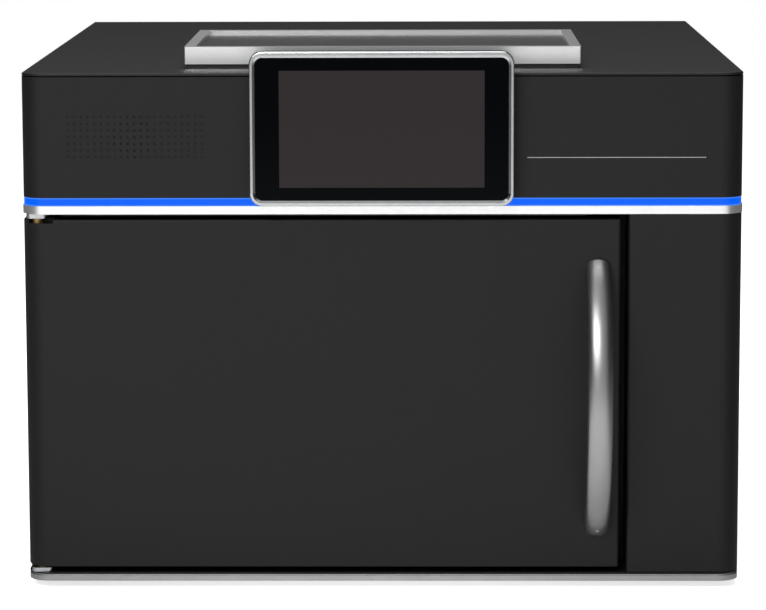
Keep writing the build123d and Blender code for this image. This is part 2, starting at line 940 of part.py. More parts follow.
def make_hearth_plate():
    """The loose ceramic plate that crucibles stand on."""
    inset = heater_thickness + hearth_margin
    x = (chamber_left + inset, chamber_right - inset)
    y = (frame_back + plug_depth + hearth_margin, chamber_back - hearth_margin)
    plate = block(x, y, (chamber_low, chamber_low + hearth_thickness))
    return fillet(plate.edges().filter_by(Axis.Z), hearth_corner)


def make_thermocouple():
    """The sheathed probe through the back board, with its head behind the cavity."""
    wall = board_back + cavity_wall
    sheath = rod_y(probe_radius, (chamber_back - probe_reach, wall + cut_over), chamber_x, probe_z)
    return sheath + rod_y(probe_head_radius, (wall, wall + probe_head_length), chamber_x, probe_z)


def make_cavity_box():
    """The welded steel box round the insulation, open to the frame."""
    x = (cavity_left, cavity_right)
    z = (cavity_low, cavity_high)
    box = block(x, (frame_back, board_back + cavity_wall), z)
    box -= block(board_x(), (frame_back - cut_over, board_back), grown(z, -cavity_wall))
    lid = grown((cavity_high - cavity_wall, cavity_high), cut_over)
    box -= rod_z(flue_radius + slip_gap, lid, chamber_x, flue_y)
    rear = grown((board_back, board_back + cavity_wall), cut_over)
    box -= rod_y(probe_radius + slip_gap, rear, chamber_x, probe_z)
    window_y = around(magnetron_y, waveguide_width - 2 * waveguide_rim)
    window_z = around(door_middle, waveguide_height - 2 * waveguide_rim)
    return box - block(grown((cavity_right - cavity_wall, cavity_right), cut_over), window_y, window_z)


def make_flue_tube():
    """The ceramic tube from the chamber roof up into the duct."""
    z = (chamber_high, waist_low - flue_top_gap)
    return rod_z(flue_radius, z, chamber_x, flue_y) - rod_z(flue_bore, grown(z, cut_over), chamber_x, flue_y)


def make_exhaust_duct():
    """The bent duct from over the flue to the back panel."""
    start = (chamber_x, flue_y, waist_low - duct_overlap)
    corner = (chamber_x, flue_y, duct_z)
    end = (chamber_x, panel_back, duct_z)
    path = FilletPolyline(start, corner, end, radius=duct_bend)
    ring = Circle(duct_radius) - Circle(duct_radius - duct_wall)
    return sweep(Plane(origin=path @ 0, z_dir=path % 0) * ring, path=path)


def make_exhaust_collar():
    """The flanged spigot on the back panel that a hose slides over."""
    whole = (panel_back, back + collar_length)
    collar = rod_y(duct_radius, whole, chamber_x, duct_z)
    collar += rod_y(collar_flange, (back, back + shell_wall), chamber_x, duct_z)
    return collar - rod_y(duct_radius - duct_wall, grown(whole, cut_over), chamber_x, duct_z)


def make_waveguide():
    """The launcher box on the right wall of the cavity."""
    x = (cavity_right, magnetron_left)
    y = around(magnetron_y, waveguide_width)
    z = around(door_middle, waveguide_height)
    hollow_x = (x[0] - cut_over, x[1] - cavity_wall)
    box = block(x, y, z) - block(hollow_x, grown(y, -cavity_wall), grown(z, -cavity_wall))
    far_wall = grown((x[1] - cavity_wall, x[1]), cut_over)
    return box - rod_x(waveguide_bore, far_wall, magnetron_y, door_middle)


def make_magnetron():
    """The magnetron: antenna, anode barrel, square yoke and filament box."""
    x = (magnetron_left, magnetron_right)
    y = around(magnetron_y, magnetron_size)
    z = around(door_middle, magnetron_size)
    yoke = block(x, y, z) - block(grown(x, -yoke_wall), grown(y, cut_over), grown(z, -yoke_wall))
    barrel = rod_x(anode_radius, x, magnetron_y, door_middle)
    antenna = rod_x(antenna_radius, (x[0] - antenna_length, x[0]), magnetron_y, door_middle)
    filament_x = (x[1], x[1] + filament_length)
    filament_y = around(magnetron_y, filament_size)
    return yoke + barrel + antenna + block(filament_x, filament_y, around(door_middle, filament_size))


def make_magnetron_fins():
    """The stack of cooling fins pressed on the anode barrel."""
    room = grown((magnetron_left, magnetron_right), -yoke_wall)
    pitch = (room[1] - room[0]) / fin_count
    y = around(magnetron_y, magnetron_size - 2 * fin_edge_gap)
    z = around(door_middle, magnetron_size - 2 * yoke_wall - slip_gap)
    fins = []
    for number in range(fin_count):
        x = around(room[0] + pitch * (number + 0.5), fin_thickness)
        hole = rod_x(anode_radius + running_clearance, grown(x, cut_over), magnetron_y, door_middle)
        fins.append(block(x, y, z) - hole)
    return Compound(fins)


def make_transformer_core():
    """The laminated core of the high-voltage transformer, standing on the pan."""
    y = (front + transformer_setback, front + transformer_setback + transformer_depth)
    z = (floor, floor + transformer_height)
    core = block(around(transformer_x, transformer_width), y, z)
    window = (transformer_width - 2 * core_leg) / 2
    for side in (-1, 1):
        x = around(transformer_x + side * (core_leg / 2 + window / 2), window)
        core -= block(x, grown(y, cut_over), grown(z, -core_leg / 2))
    return core


def make_transformer_coils():
    """The two windings round the core's middle leg."""
    middle = front + transformer_setback + transformer_depth / 2
    room = grown((floor, floor + transformer_height), -core_leg / 2)
    split = (room[0] + room[1]) / 2
    outer_y = around(middle, transformer_depth + 2 * coil_overhang)
    inner_x = around(transformer_x, core_leg + 2 * slip_gap)
    inner_y = around(middle, transformer_depth + 2 * slip_gap)
    coils = []
    for z in ((room[0] + slip_gap, split - coil_gap), (split + coil_gap, room[1] - slip_gap)):
        outer = block(around(transformer_x, coil_width), outer_y, z)
        outer = fillet(outer.edges().filter_by(Axis.Z), coil_round)
        coils.append(outer - block(inner_x, inner_y, grown(z, cut_over)))
    return Compound(coils)


def make_hv_capacitor():
    """The capacitor can standing on the pan, with its two terminals."""
    y = back - capacitor_from_back
    top = floor + capacitor_height
    can = rod_z(capacitor_radius, (floor, top), capacitor_x, y)
    can = fillet(can.edges().group_by(Axis.Z)[-1], capacitor_round)
    for side in (-1, 1):
        x = around(capacitor_x + side * terminal_pitch / 2, terminal_width)
        can += block(x, around(y, terminal_thickness), (top, top + terminal_height))
    return can


def make_control_board():
    """The control board on four posts over the deck, with its larger components."""
    x = (board_left, board_left + board_width)
    y = (front + board_setback, front + board_setback + board_depth)
    base = deck_top + post_height
    top = base + board_sheet
    made = block(x, y, (base, top))
    for px in grown(x, -post_inset):
        for py in grown(y, -post_inset):
            made += rod_z(post_radius, (deck_top, base), px, py)
    for px, py, width, height in components:
        made += block(around(x[0] + px, width), around(y[0] + py, width), (top, top + height))
    return made


def make_speaker():
    """The loudspeaker behind the round patch of holes."""
    face = front + shell_wall
    cone_start = face + speaker_flange
    cone = Cone(speaker_radius, cone_end, cone_depth)
    made = rod_y(speaker_radius, (face, cone_start), speaker_x, speaker_z)
    made += Pos(speaker_x, cone_start + cone_depth / 2, speaker_z) * Rot(-90, 0, 0) * cone
    magnet = (cone_start + cone_depth, cone_start + cone_depth + magnet_depth)
    return made + rod_y(magnet_radius, magnet, speaker_x, speaker_z)


def make_display_housing():
    """The back shell of the screen, with the boss that passes through the fascia."""
    face = pod_front + bezel_depth
    body = face_panel(around(0, screen_width), (screen_low, screen_high), (face, pod_back), screen_corner)
    body = fillet(body.edges().group_by(Axis.Y)[-1], screen_back_round)
    boss_y = (pod_back - cut_over, front + boss_depth)
    boss = block(around(0, boss_width), boss_y, around(fascia_middle, boss_height))
    pocket_y = (face - cut_over, face + lcd_thickness + slip_gap)
    pocket_x = around(0, lcd_width + 2 * piece_gap)
    return body + boss - block(pocket_x, pocket_y, around(screen_middle, lcd_height + 2 * piece_gap))


def inside_bezel(clearance):
    """The X and Z spans inside the bright rim."""
    x = grown(around(0, screen_width), -bezel_side - clearance)
    z = (screen_low + bezel_side + clearance, screen_high - bezel_top - clearance)
    return x, z


def make_display_bezel():
    """The bright rim round the glass, sloping in to it all round."""
    y = (pod_front, pod_front + bezel_depth)
    rim = face_panel(around(0, screen_width), (screen_low, screen_high), y, screen_corner)
    rim = fillet(rim.edges().group_by(Axis.Y)[0], bezel_round)
    x, z = inside_bezel(0)
    corner = max(screen_corner - bezel_side, cut_over)
    size = (x[1] - x[0] + 2 * bezel_slope, z[1] - z[0] + 2 * bezel_slope)
    wide = RectangleRounded(*size, corner + bezel_slope)
    mouth = Pos((x[0] + x[1]) / 2, pod_front, (z[0] + z[1]) / 2) * Rot(-90, 0, 0) * wide
    lean = math.degrees(math.atan2(bezel_slope, glass_recess))
    rim -= extrude(mouth, glass_recess, taper=lean)
    return rim - face_panel(x, z, grown(y, cut_over), corner)


def make_display_glass():
    """The black cover glass, set just below the rim."""
    x, z = inside_bezel(slip_gap)
    y = (pod_front + glass_recess, pod_front + glass_recess + glass_thickness)
    return face_panel(x, z, y, max(screen_corner - bezel_side - slip_gap, cut_over))


def make_lcd_panel():
    """The display module behind the glass."""
    start = pod_front + glass_recess + glass_thickness
    end = pod_front + bezel_depth + lcd_thickness
    return block(around(0, lcd_width), (start, end), around(screen_middle, lcd_height))


def tray_plan(inset):
    """The tray's plan, drawn in by inset, as X and Y spans."""
    x = around(0, tray_width - 2 * inset)
    return x, (tray_front + inset, tray_front + tray_depth - inset)


def make_tray_frame():
    """The tray's rim, with a ledge inside for its plate."""
    rim = block(*tray_plan(0), (tray_low, tray_high))
    rim = fillet(rim.edges().filter_by(Axis.Z), tray_corner)
    rim -= block(*tray_plan(tray_bar), (ledge_top, tray_high + cut_over))
    return rim - block(*tray_plan(tray_bar + tray_ledge), (tray_low - cut_over, ledge_top + cut_over))


def make_tray_plate():
    """The dark plate that hot crucibles are set down on."""
    return block(*tray_plan(tray_bar + slip_gap), (ledge_top, tray_high - tray_recess))


def make_tray_base():
    """The black base under the tray's rim."""
    return block(*tray_plan(tray_base_inset), (cover_high, tray_low))


def fan_housing(z):
    """One square fan frame with its struts, motor seat and shaft."""
    y = (fan_start, panel_back)
    strut_y = (fan_start, fan_start + fan_strut)
    frame = block(around(fan_x, fan_size), y, around(z, fan_size))
    frame = fillet(frame.edges().filter_by(Axis.Y), fan_corner)
    frame -= rod_y(fan_bore, grown(y, cut_over), fan_x, z)
    reach = 2 * fan_bore + fan_strut
    frame += block(around(fan_x, reach), strut_y, around(z, fan_strut))
    frame += block(around(fan_x, fan_strut), strut_y, around(z, reach))
    frame += rod_y(fan_hub, (fan_start, fan_start + fan_seat), fan_x, z)
    return frame + rod_y(fan_shaft, (fan_start, panel_back - shaft_stop - fan_end_gap), fan_x, z)


def make_fan_housings():
    """The two fan frames, one above the other on the back panel."""
    return Compound([fan_housing(z) for z in fan_heights])


def blade_section(distance, chord, angle):
    """The cross-section of a fan blade at a distance from the axis."""
    middle = (fan_start + fan_seat + fan_end_gap + panel_back - fan_front_gap) / 2
    plane = Plane(origin=(distance, middle, 0), x_dir=(0, 1, 0), z_dir=(1, 0, 0))
    return plane * Rot(0, 0, angle) * Rectangle(chord, blade_thickness)


def make_fan_rotor(z):
    """A fan's hub and its ring of twisted blades."""
    y = (fan_start + fan_seat + fan_end_gap, panel_back - fan_front_gap)
    root = blade_section(fan_hub - blade_thickness, blade_root_chord, blade_root_angle)
    tip = blade_section(fan_bore - blade_tip_gap, blade_tip_chord, blade_tip_angle)
    blade = loft([root, tip])
    rotor = rod_y(fan_hub, y, 0, 0)
    for number in range(fan_blades):
        rotor += Rot(0, number * 360.0 / fan_blades, 0) * blade
    bore = (y[0] - cut_over, panel_back - shaft_stop)
    return Pos(fan_x, 0, z) * (rotor - rod_y(fan_shaft + running_clearance, bore, 0, 0))


def fan_guard(z):
    """Concentric rings on a cross of spokes over one fan."""
    y = (back, back + guard_wire)
    spoke = 2 * (fan_bore + guard_over)
    guard = block(around(fan_x, spoke), y, around(z, guard_spoke))
    guard += block(around(fan_x, guard_spoke), y, around(z, spoke))
    for number in range(1, guard_rings + 1):
        radius = fan_bore * number / guard_rings
        ring = rod_y(radius + guard_wire / 2, y, fan_x, z)
        guard += ring - rod_y(radius - guard_wire / 2, grown(y, cut_over), fan_x, z)
    return guard


def make_fan_guards():
    """The two fan guards on the outside of the back panel."""
    return Compound([fan_guard(z) for z in fan_heights])


def make_power_inlet():
    """The inlet module: flange, socket with three blades, and the rocker's window."""
    face = back + inlet_flange
    flange = (back, face)
    body = face_panel(around(inlet_x, inlet_width), around(inlet_z, inlet_height), flange, inlet_corner)
    inner_x = around(inlet_x, inlet_width - 2 * inlet_rim - 2 * slip_gap)
    inner_z = around(inlet_z, inlet_height - 2 * inlet_rim - 2 * slip_gap)
    body += block(inner_x, (back - inlet_depth, back), inner_z)
    well_x = around(inlet_x, rocker_width + 2 * piece_gap)
    well_z = around(rocker_z, rocker_length + 2 * rocker_clearance)
    body -= block(well_x, (back - rocker_well, face + cut_over), well_z)
    socket = (back - socket_depth, face + cut_over)
    body -= face_panel(around(inlet_x, socket_width), around(socket_z, socket_height), socket, socket_corner)
    blade_y = (back - socket_depth - cut_over, back - blade_setback)
    for dx, dz in blades:
        body += block(around(inlet_x + dx, blade_width), blade_y, around(socket_z + dz, blade_height))
    return body


def make_power_rocker():
    """The rocker, resting with its lower half pressed in."""
    reach = rocker_length / 2
    points = [
        (-rocker_body, -reach),
        (rocker_crown, -reach),
        (rocker_valley, 0),
        (rocker_crown, reach),
        (-rocker_body, reach),
    ]
    side = Plane(origin=(0, 0, 0), x_dir=(0, 1, 0), z_dir=(1, 0, 0))
    outline = side * make_face(Polyline(*points, close=True))
    solid = extrude(outline, rocker_width / 2, both=True)
    return Pos(inlet_x, back + rocker_proud, rocker_z) * Rot(rocker_tilt, 0, 0) * solid


def make_port_block():
    """The plate of data sockets near the top of the back."""
    face = back + port_plate
    x = around(port_x, port_width)
    body = face_panel(x, around(duct_z, port_height), (back, face), port_plate)
    inner_x = grown(x, -port_rim - slip_gap)
    body += block(inner_x, (back - port_depth, back), around(duct_z, port_height - port_rim - 2 * slip_gap))
    for dx, width, height in ports:
        recess = (face - port_recess, face + cut_over)
        body -= block(around(port_x + dx, width), recess, around(duct_z, height))
    return body


save("feet", make_feet())
save("base_plate", make_base_plate())
save("chassis_pan", make_chassis_pan())
save("left_side_panel", make_side_panel(-1))
save("right_side_panel", make_side_panel(1))
save("right_front_panel", make_right_front_panel())
save("front_frame", make_front_frame())
save("waist_trim", make_waist_trim())
save("mid_deck", make_mid_deck())
save("light_strip", make_light_strip())
save("upper_shell", make_upper_shell())
save("top_cover", make_top_cover())
save("rear_panel", make_rear_panel())
save("panel_screws", make_panel_screws())
save("hinge_arms", make_hinge_arms())
save("hinge_bushes", make_hinge_bushes())
save("door_skin", make_door_skin())
save("door_inner_panel", make_door_inner_panel())
save("door_core", make_door_core())
save("door_plug", make_door_plug())
save("door_seal", make_door_seal())
save("door_handle", make_door_handle())
save("handle_screws", make_handle_screws())
save("door_tongue", make_door_tongue())
save("lock_solenoid", make_lock_solenoid())
save("lock_bolt", make_lock_bolt())
save("interlock_switches", make_interlock_switches())
save("muffle_floor", make_muffle_floor())
save("muffle_roof", make_muffle_roof())
save("muffle_sides", make_muffle_sides())
save("muffle_back", make_muffle_back())
save("heating_plates", make_heating_plates())
save("hearth_plate", make_hearth_plate())
save("thermocouple", make_thermocouple())
save("cavity_box", make_cavity_box())
save("flue_tube", make_flue_tube())
save("exhaust_duct", make_exhaust_duct())
save("exhaust_collar", make_exhaust_collar())
save("waveguide", make_waveguide())
save("magnetron", make_magnetron())
save("magnetron_fins", make_magnetron_fins())
save("transformer_core", make_transformer_core())
save("transformer_coils", make_transformer_coils())
save("hv_capacitor", make_hv_capacitor())
save("control_board", make_control_board())
save("speaker", make_speaker())
save("display_housing", make_display_housing())
save("display_bezel", make_display_bezel())
save("display_glass", make_display_glass())
save("lcd_panel", make_lcd_panel())
save("tray_frame", make_tray_frame())
save("tray_plate", make_tray_plate())
save("tray_base", make_tray_base())
save("fan_housings", make_fan_housings())
save("fan_rotor_lower", make_fan_rotor(fan_heights[0]))
save("fan_rotor_upper", make_fan_rotor(fan_heights[1]))
save("fan_guards", make_fan_guards())
save("power_inlet", make_power_inlet())
save("power_rocker", make_power_rocker())
save("port_block", make_port_block())
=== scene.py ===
# %% [markdown]
# A benchtop muffle furnace, dressed for the photographer.
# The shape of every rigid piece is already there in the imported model, in metres, with +Z up and the
# door facing -Y. This script gives those pieces their finishes, adds the small things that a maker
# prints, presses or braids on last, and sets up a plain studio.

# %% Load the model and keep its box
import bpy
import bmesh
import math
from mathutils import Matrix, Vector


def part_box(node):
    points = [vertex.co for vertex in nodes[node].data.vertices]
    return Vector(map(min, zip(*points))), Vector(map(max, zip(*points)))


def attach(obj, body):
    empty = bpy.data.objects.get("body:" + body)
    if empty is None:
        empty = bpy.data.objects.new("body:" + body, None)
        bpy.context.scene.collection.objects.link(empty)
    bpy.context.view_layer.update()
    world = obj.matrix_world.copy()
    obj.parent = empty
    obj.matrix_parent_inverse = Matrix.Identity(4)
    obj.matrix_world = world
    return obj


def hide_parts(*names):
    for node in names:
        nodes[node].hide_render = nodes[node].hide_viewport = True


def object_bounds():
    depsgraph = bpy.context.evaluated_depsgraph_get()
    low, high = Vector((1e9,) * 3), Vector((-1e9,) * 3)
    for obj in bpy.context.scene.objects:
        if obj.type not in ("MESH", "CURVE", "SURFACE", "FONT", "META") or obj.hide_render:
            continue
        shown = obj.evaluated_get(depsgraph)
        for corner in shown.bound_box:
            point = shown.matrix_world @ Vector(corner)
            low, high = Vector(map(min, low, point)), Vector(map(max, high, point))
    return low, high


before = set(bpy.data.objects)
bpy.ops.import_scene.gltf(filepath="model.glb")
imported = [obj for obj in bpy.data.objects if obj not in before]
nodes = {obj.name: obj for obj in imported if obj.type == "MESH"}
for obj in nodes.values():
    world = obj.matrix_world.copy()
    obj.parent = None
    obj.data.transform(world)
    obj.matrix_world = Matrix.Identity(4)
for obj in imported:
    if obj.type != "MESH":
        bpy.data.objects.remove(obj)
cad_box = [list(corner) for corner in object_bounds()]
mm = 0.001
box_size = Vector(cad_box[1]) - Vector(cad_box[0])
print("loaded", len(nodes), "nodes in a box of", [round(side, 4) for side in box_size])

# %% [markdown]
# Every finish below is a Principled shader. What is the same all over a surface is a plain number on
# the shader's own socket. What changes over the surface comes from patterns on Object coordinates,
# which lie still on each piece however the door or a fan moves. Four patterns serve many finishes, so
# each is a node group, built once and placed wherever it is needed.


# %% Helpers for node trees
def add_node(tree, kind, **settings):
    """A node with its settings and its unlinked inputs filled in."""
    node = tree.nodes.new(kind)
    inputs = settings.pop("inputs", {})
    for name, value in settings.items():
        setattr(node, name, value)
    for name, value in inputs.items():
        node.inputs[name].default_value = value
    return node


def new_group(name, inputs, outputs):
    """An empty shader group with named float inputs, a Vector input and float outputs."""
    group = bpy.data.node_groups.new(name, "ShaderNodeTree")
    group.interface.new_socket("Vector", in_out="INPUT", socket_type="NodeSocketVector")
    for label, value in inputs.items():
        socket = group.interface.new_socket(label, in_out="INPUT", socket_type="NodeSocketFloat")
        socket.default_value = value
    for label in outputs:
        group.interface.new_socket(label, in_out="OUTPUT", socket_type="NodeSocketFloat")
    return group, group.nodes.new("NodeGroupInput"), group.nodes.new("NodeGroupOutput")


def math_node(tree, operation, first, second=0.0):
    """A Math node; each side is a socket to link or a number to write in."""
    node = add_node(tree, "ShaderNodeMath", operation=operation)
    for index, value in enumerate((first, second)):
        if isinstance(value, (int, float)):
            node.inputs[index].default_value = value
        else:
            tree.links.new(value, node.inputs[index])
    return node.outputs[0]


def soft_step(tree, value, start, end, low=0.0, high=1.0):
    """A smooth change from low to high as a value goes from start to end."""
    step = add_node(tree, "ShaderNodeMapRange", interpolation_type="SMOOTHSTEP",
                    inputs={"From Min": start, "From Max": end, "To Min": low, "To Max": high})
    tree.links.new(value, step.inputs["Value"])
    return step.outputs["Result"]


def split_axes(tree, vector):
    """The X, Y and Z outputs of a vector."""
    split = add_node(tree, "ShaderNodeSeparateXYZ")
    tree.links.new(vector, split.inputs[0])
    return split.outputs


def middle_of(node_name):
    """The middle of a CAD node's box."""
    low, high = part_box(node_name)
    return (low + high) / 2


print("helpers ready")

# %% [markdown]
# Powder coat and moulded plastic both have an orange-peel grain: small soft lumps about a millimetre
# across with a finer speckle on top. Two noise textures added together give it. The Height output
# feeds a Bump node, and Shade moves the colour a little, as the real pigment does.

# %% The grain group
per_metre = 1.0 / mm
grain, grain_in, grain_out = new_group("Fine grain", {"Size mm": 1.0, "Contrast": 1.0},
                                       ("Height", "Shade"))
speckle_scale = 2.7
speckle_share = 0.4
scale = math_node(grain, "DIVIDE", per_metre, grain_in.outputs["Size mm"])
lumps = add_node(grain, "ShaderNodeTexNoise", inputs={"Detail": 2.0, "Roughness": 0.6})
speckle = add_node(grain, "ShaderNodeTexNoise", inputs={"Detail": 1.0, "Roughness": 0.5})
for texture in (lumps, speckle):
    grain.links.new(grain_in.outputs["Vector"], texture.inputs["Vector"])
grain.links.new(scale, lumps.inputs["Scale"])
grain.links.new(math_node(grain, "MULTIPLY", scale, speckle_scale), speckle.inputs["Scale"])
fine_part = math_node(grain, "MULTIPLY", speckle.outputs["Fac"], speckle_share)
height = math_node(grain, "ADD", lumps.outputs["Fac"], fine_part)
grain.links.new(height, grain_out.inputs["Height"])
centred = math_node(grain, "SUBTRACT", speckle.outputs["Fac"], 0.5)
contrasted = math_node(grain, "MULTIPLY", centred, grain_in.outputs["Contrast"])
shade = math_node(grain, "ADD", contrasted, 0.5)
grain.links.new(shade, grain_out.inputs["Shade"])
print("group", grain.name)

# %% [markdown]
# A brushed face has fine parallel lines, long in one direction and a fraction of a millimetre apart.
# A noise texture on a stretched vector is enough: a Mapping node in each metal squeezes the direction
# along the lines, so this group only sees the squeezed vector.

# %% The brushing group
band_scale = 0.06
brushing, brush_in, brush_out = new_group("Brushed lines", {"Pitch mm": 0.4}, ("Height", "Shade"))
scale = math_node(brushing, "DIVIDE", per_metre, brush_in.outputs["Pitch mm"])
lines = add_node(brushing, "ShaderNodeTexNoise", inputs={"Detail": 3.0, "Roughness": 0.7})
bands = add_node(brushing, "ShaderNodeTexNoise", inputs={"Detail": 1.0})
for texture in (lines, bands):
    brushing.links.new(brush_in.outputs["Vector"], texture.inputs["Vector"])
brushing.links.new(scale, lines.inputs["Scale"])
brushing.links.new(math_node(brushing, "MULTIPLY", scale, band_scale), bands.inputs["Scale"])
brushing.links.new(lines.outputs["Fac"], brush_out.inputs["Height"])
half_lines = math_node(brushing, "MULTIPLY", lines.outputs["Fac"], 0.5)
half_bands = math_node(brushing, "MULTIPLY", bands.outputs["Fac"], 0.5)
brushing.links.new(math_node(brushing, "ADD", half_lines, half_bands), brush_out.inputs["Shade"])
print("group", brushing.name)

# %% [markdown]
# Hands and cloths leave broad, soft patches that are a little shinier or duller than the rest. They
# show only in the gloss, so this group puts out one roughness value that wanders round its Base.

# %% The handling group
handling, hand_in, hand_out = new_group("Handling marks", {"Base": 0.5, "Spread": 0.1},
                                        ("Roughness",))
patches = add_node(handling, "ShaderNodeTexNoise",
                   inputs={"Scale": 9.0, "Detail": 4.0, "Roughness": 0.55})
handling.links.new(hand_in.outputs["Vector"], patches.inputs["Vector"])
wander = math_node(handling, "SUBTRACT", patches.outputs["Fac"], 0.5)
wander = math_node(handling, "MULTIPLY", wander, hand_in.outputs["Spread"])
wander = math_node(handling, "ADD", wander, hand_in.outputs["Base"])
handling.links.new(wander, hand_out.inputs["Roughness"])
print("group", handling.name)

# %% [markdown]
# Fired ceramic and steel that has been hot carry blotches: brown or grey clouds a few centimetres
# wide with ragged edges. A noise texture pushed through a steep ramp gives a mask for them.

# %% The blotch group
blotches, blotch_in, blotch_out = new_group("Heat blotches", {"Scale": 20.0, "Amount": 0.5},
                                            ("Mask",))
clouds = add_node(blotches, "ShaderNodeTexNoise", inputs={"Detail": 6.0, "Roughness": 0.65})
blotches.links.new(blotch_in.outputs["Vector"], clouds.inputs["Vector"])
blotches.links.new(blotch_in.outputs["Scale"], clouds.inputs["Scale"])
ragged = soft_step(blotches, clouds.outputs["Fac"], 0.45, 0.7)
mask = math_node(blotches, "MULTIPLY", ragged, blotch_in.outputs["Amount"])
blotches.links.new(mask, blotch_out.inputs["Mask"])
print("group", blotches.name)

# %% [markdown]
# Paint, plastic, rubber, ceramic and board differ in a few numbers: two colours that the grain
# mixes, the gloss, and how deep the grain is. One function builds them all.


# %% One builder for grained finishes
def object_vector(tree, stretch=None):
    """Object coordinates, squeezed by a Mapping node where a stretch is given."""
    vector = add_node(tree, "ShaderNodeTexCoord").outputs["Object"]
    if stretch is None:
        return vector
    mapping = add_node(tree, "ShaderNodeMapping")
    mapping.inputs["Scale"].default_value = stretch
    tree.links.new(vector, mapping.inputs["Vector"])
    return mapping.outputs["Vector"]


def place_group(tree, group, vector, **inputs):
    """A group node reading one vector, with its own values."""
    node = add_node(tree, "ShaderNodeGroup", node_tree=group)
    tree.links.new(vector, node.inputs["Vector"])
    for name, value in inputs.items():
        node.inputs[name.replace("_", " ")].default_value = value
    return node


def mix_colours(tree, factor, first, second):
    """A colour mix; each side is a socket or three numbers."""
    mix = add_node(tree, "ShaderNodeMix", data_type="RGBA")
    tree.links.new(factor, mix.inputs[0])
    for index, value in ((6, first), (7, second)):
        if isinstance(value, (tuple, list)):
            mix.inputs[index].default_value = (*value, 1.0)
        else:
            tree.links.new(value, mix.inputs[index])
    return mix.outputs[2]


def bare_finish(name, metallic=0.0, specular=0.5, **sockets):
    """A new material with its Principled shader and its plain values."""
    material = bpy.data.materials.new(name)
    material.use_nodes = True
    tree = material.node_tree
    shader = tree.nodes["Principled BSDF"]
    shader.inputs["Metallic"].default_value = metallic
    shader.inputs["Specular IOR Level"].default_value = specular
    for label, value in sockets.items():
        shader.inputs[label.replace("_", " ")].default_value = value
    return material, tree, shader


def bump_from(tree, shader, height, depth_mm):
    """Feeds a height through a Bump node into the shader's Normal."""
    bump = add_node(tree, "ShaderNodeBump", inputs={"Strength": 1.0, "Distance": depth_mm * mm})
    tree.links.new(height, bump.inputs["Height"])
    tree.links.new(bump.outputs["Normal"], shader.inputs["Normal"])


def uneven_gloss(tree, shader, base, spread):
    """Roughness that wanders round a base, as handling leaves it."""
    marks = place_group(tree, handling, object_vector(tree), Base=base, Spread=spread)
    tree.links.new(marks.outputs["Roughness"], shader.inputs["Roughness"])


def grained(name, dark, light, roughness, size=1.0, depth=0.03, spread=0.1, **sockets):
    """A paint, plastic, rubber or ceramic with grain in its colour, gloss and surface."""
    material, tree, shader = bare_finish(name, **sockets)
    texture = place_group(tree, grain, object_vector(tree), Size_mm=size, Contrast=1.6)
    colour = mix_colours(tree, texture.outputs["Shade"], dark, light)
    tree.links.new(colour, shader.inputs["Base Color"])
    uneven_gloss(tree, shader, roughness, spread)
    bump_from(tree, shader, texture.outputs["Height"], depth)
    return material


powder_coat = grained("Black powder coat", (0.0052, 0.0052, 0.0052), (0.0115, 0.0115, 0.0115), 0.5,
                      size=0.9, depth=0.035, spread=0.12, specular=0.2)
black_plastic = grained("Black moulded plastic", (0.008, 0.008, 0.0085), (0.016, 0.016, 0.017), 0.45,
                        size=0.6, depth=0.02, specular=0.4)
gloss_plastic = grained("Gloss rocker plastic", (0.012, 0.012, 0.012), (0.016, 0.016, 0.016), 0.16,
                        size=2.0, depth=0.004, spread=0.06)
foot_rubber = grained("Foot rubber", (0.012, 0.012, 0.012), (0.03, 0.03, 0.029), 0.8,
                      size=0.7, depth=0.04, specular=0.3)
guard_paint = grained("Guard lacquer", (0.012, 0.012, 0.012), (0.02, 0.02, 0.02), 0.35,
                      size=0.8, depth=0.015, specular=0.4)
white_ceramic = grained("White fired ceramic", (0.62, 0.6, 0.56), (0.78, 0.77, 0.73), 0.6,
                        size=1.5, depth=0.05)
carbide = grained("Silicon carbide", (0.05, 0.055, 0.058), (0.16, 0.17, 0.17), 0.42,
                  size=0.8, depth=0.05, spread=0.2)
print("made", len(bpy.data.materials), "materials so far")

# %% [markdown]
# The bright parts are metal in four states: anodised aluminium with a fine speckle, brushed bars,
# a satin plated handle, and plain sheet steel behind the door. Metal shows its surroundings, so
# most of the look is in how rough it is and how the brushing stretches that gloss.


# %% One builder for metals
def metal(name, dark, light, roughness, stretch=(1.0, 1.0, 1.0), pitch=0.4, depth=0.006,
          spread=0.1):
    """A metal whose brushing runs along the axis with the smallest stretch."""
    material, tree, shader = bare_finish(name, metallic=1.0)
    lines = place_group(tree, brushing, object_vector(tree, stretch), Pitch_mm=pitch)
    colour = mix_colours(tree, lines.outputs["Shade"], dark, light)
    tree.links.new(colour, shader.inputs["Base Color"])
    uneven_gloss(tree, shader, roughness, spread)
    bump_from(tree, shader, lines.outputs["Height"], depth)
    return material


along_x = (0.02, 1.0, 1.0)
along_z = (1.0, 1.0, 0.02)
base_metal = metal("Dull base alloy", (0.34, 0.34, 0.34), (0.46, 0.46, 0.46), 0.38,
                   pitch=0.9, depth=0.01)
satin_aluminium = metal("Satin anodised aluminium", (0.8, 0.8, 0.8), (0.95, 0.95, 0.95), 0.32,
                        pitch=0.9, depth=0.01)
brushed_bar = metal("Brushed tray bar", (0.74, 0.74, 0.75), (0.94, 0.94, 0.94), 0.3,
                    stretch=along_x)
satin_nickel = metal("Satin nickel", (0.25, 0.25, 0.248), (0.34, 0.34, 0.338), 0.36, stretch=along_z,
                     pitch=0.5, depth=0.003, spread=0.06)
bezel_metal = metal("Bezel alloy", (0.4, 0.41, 0.415), (0.56, 0.57, 0.575), 0.2,
                    pitch=0.7, depth=0.003)
zinc_plate = metal("Zinc plate", (0.42, 0.43, 0.45), (0.58, 0.59, 0.6), 0.3, pitch=1.2, depth=0.006)
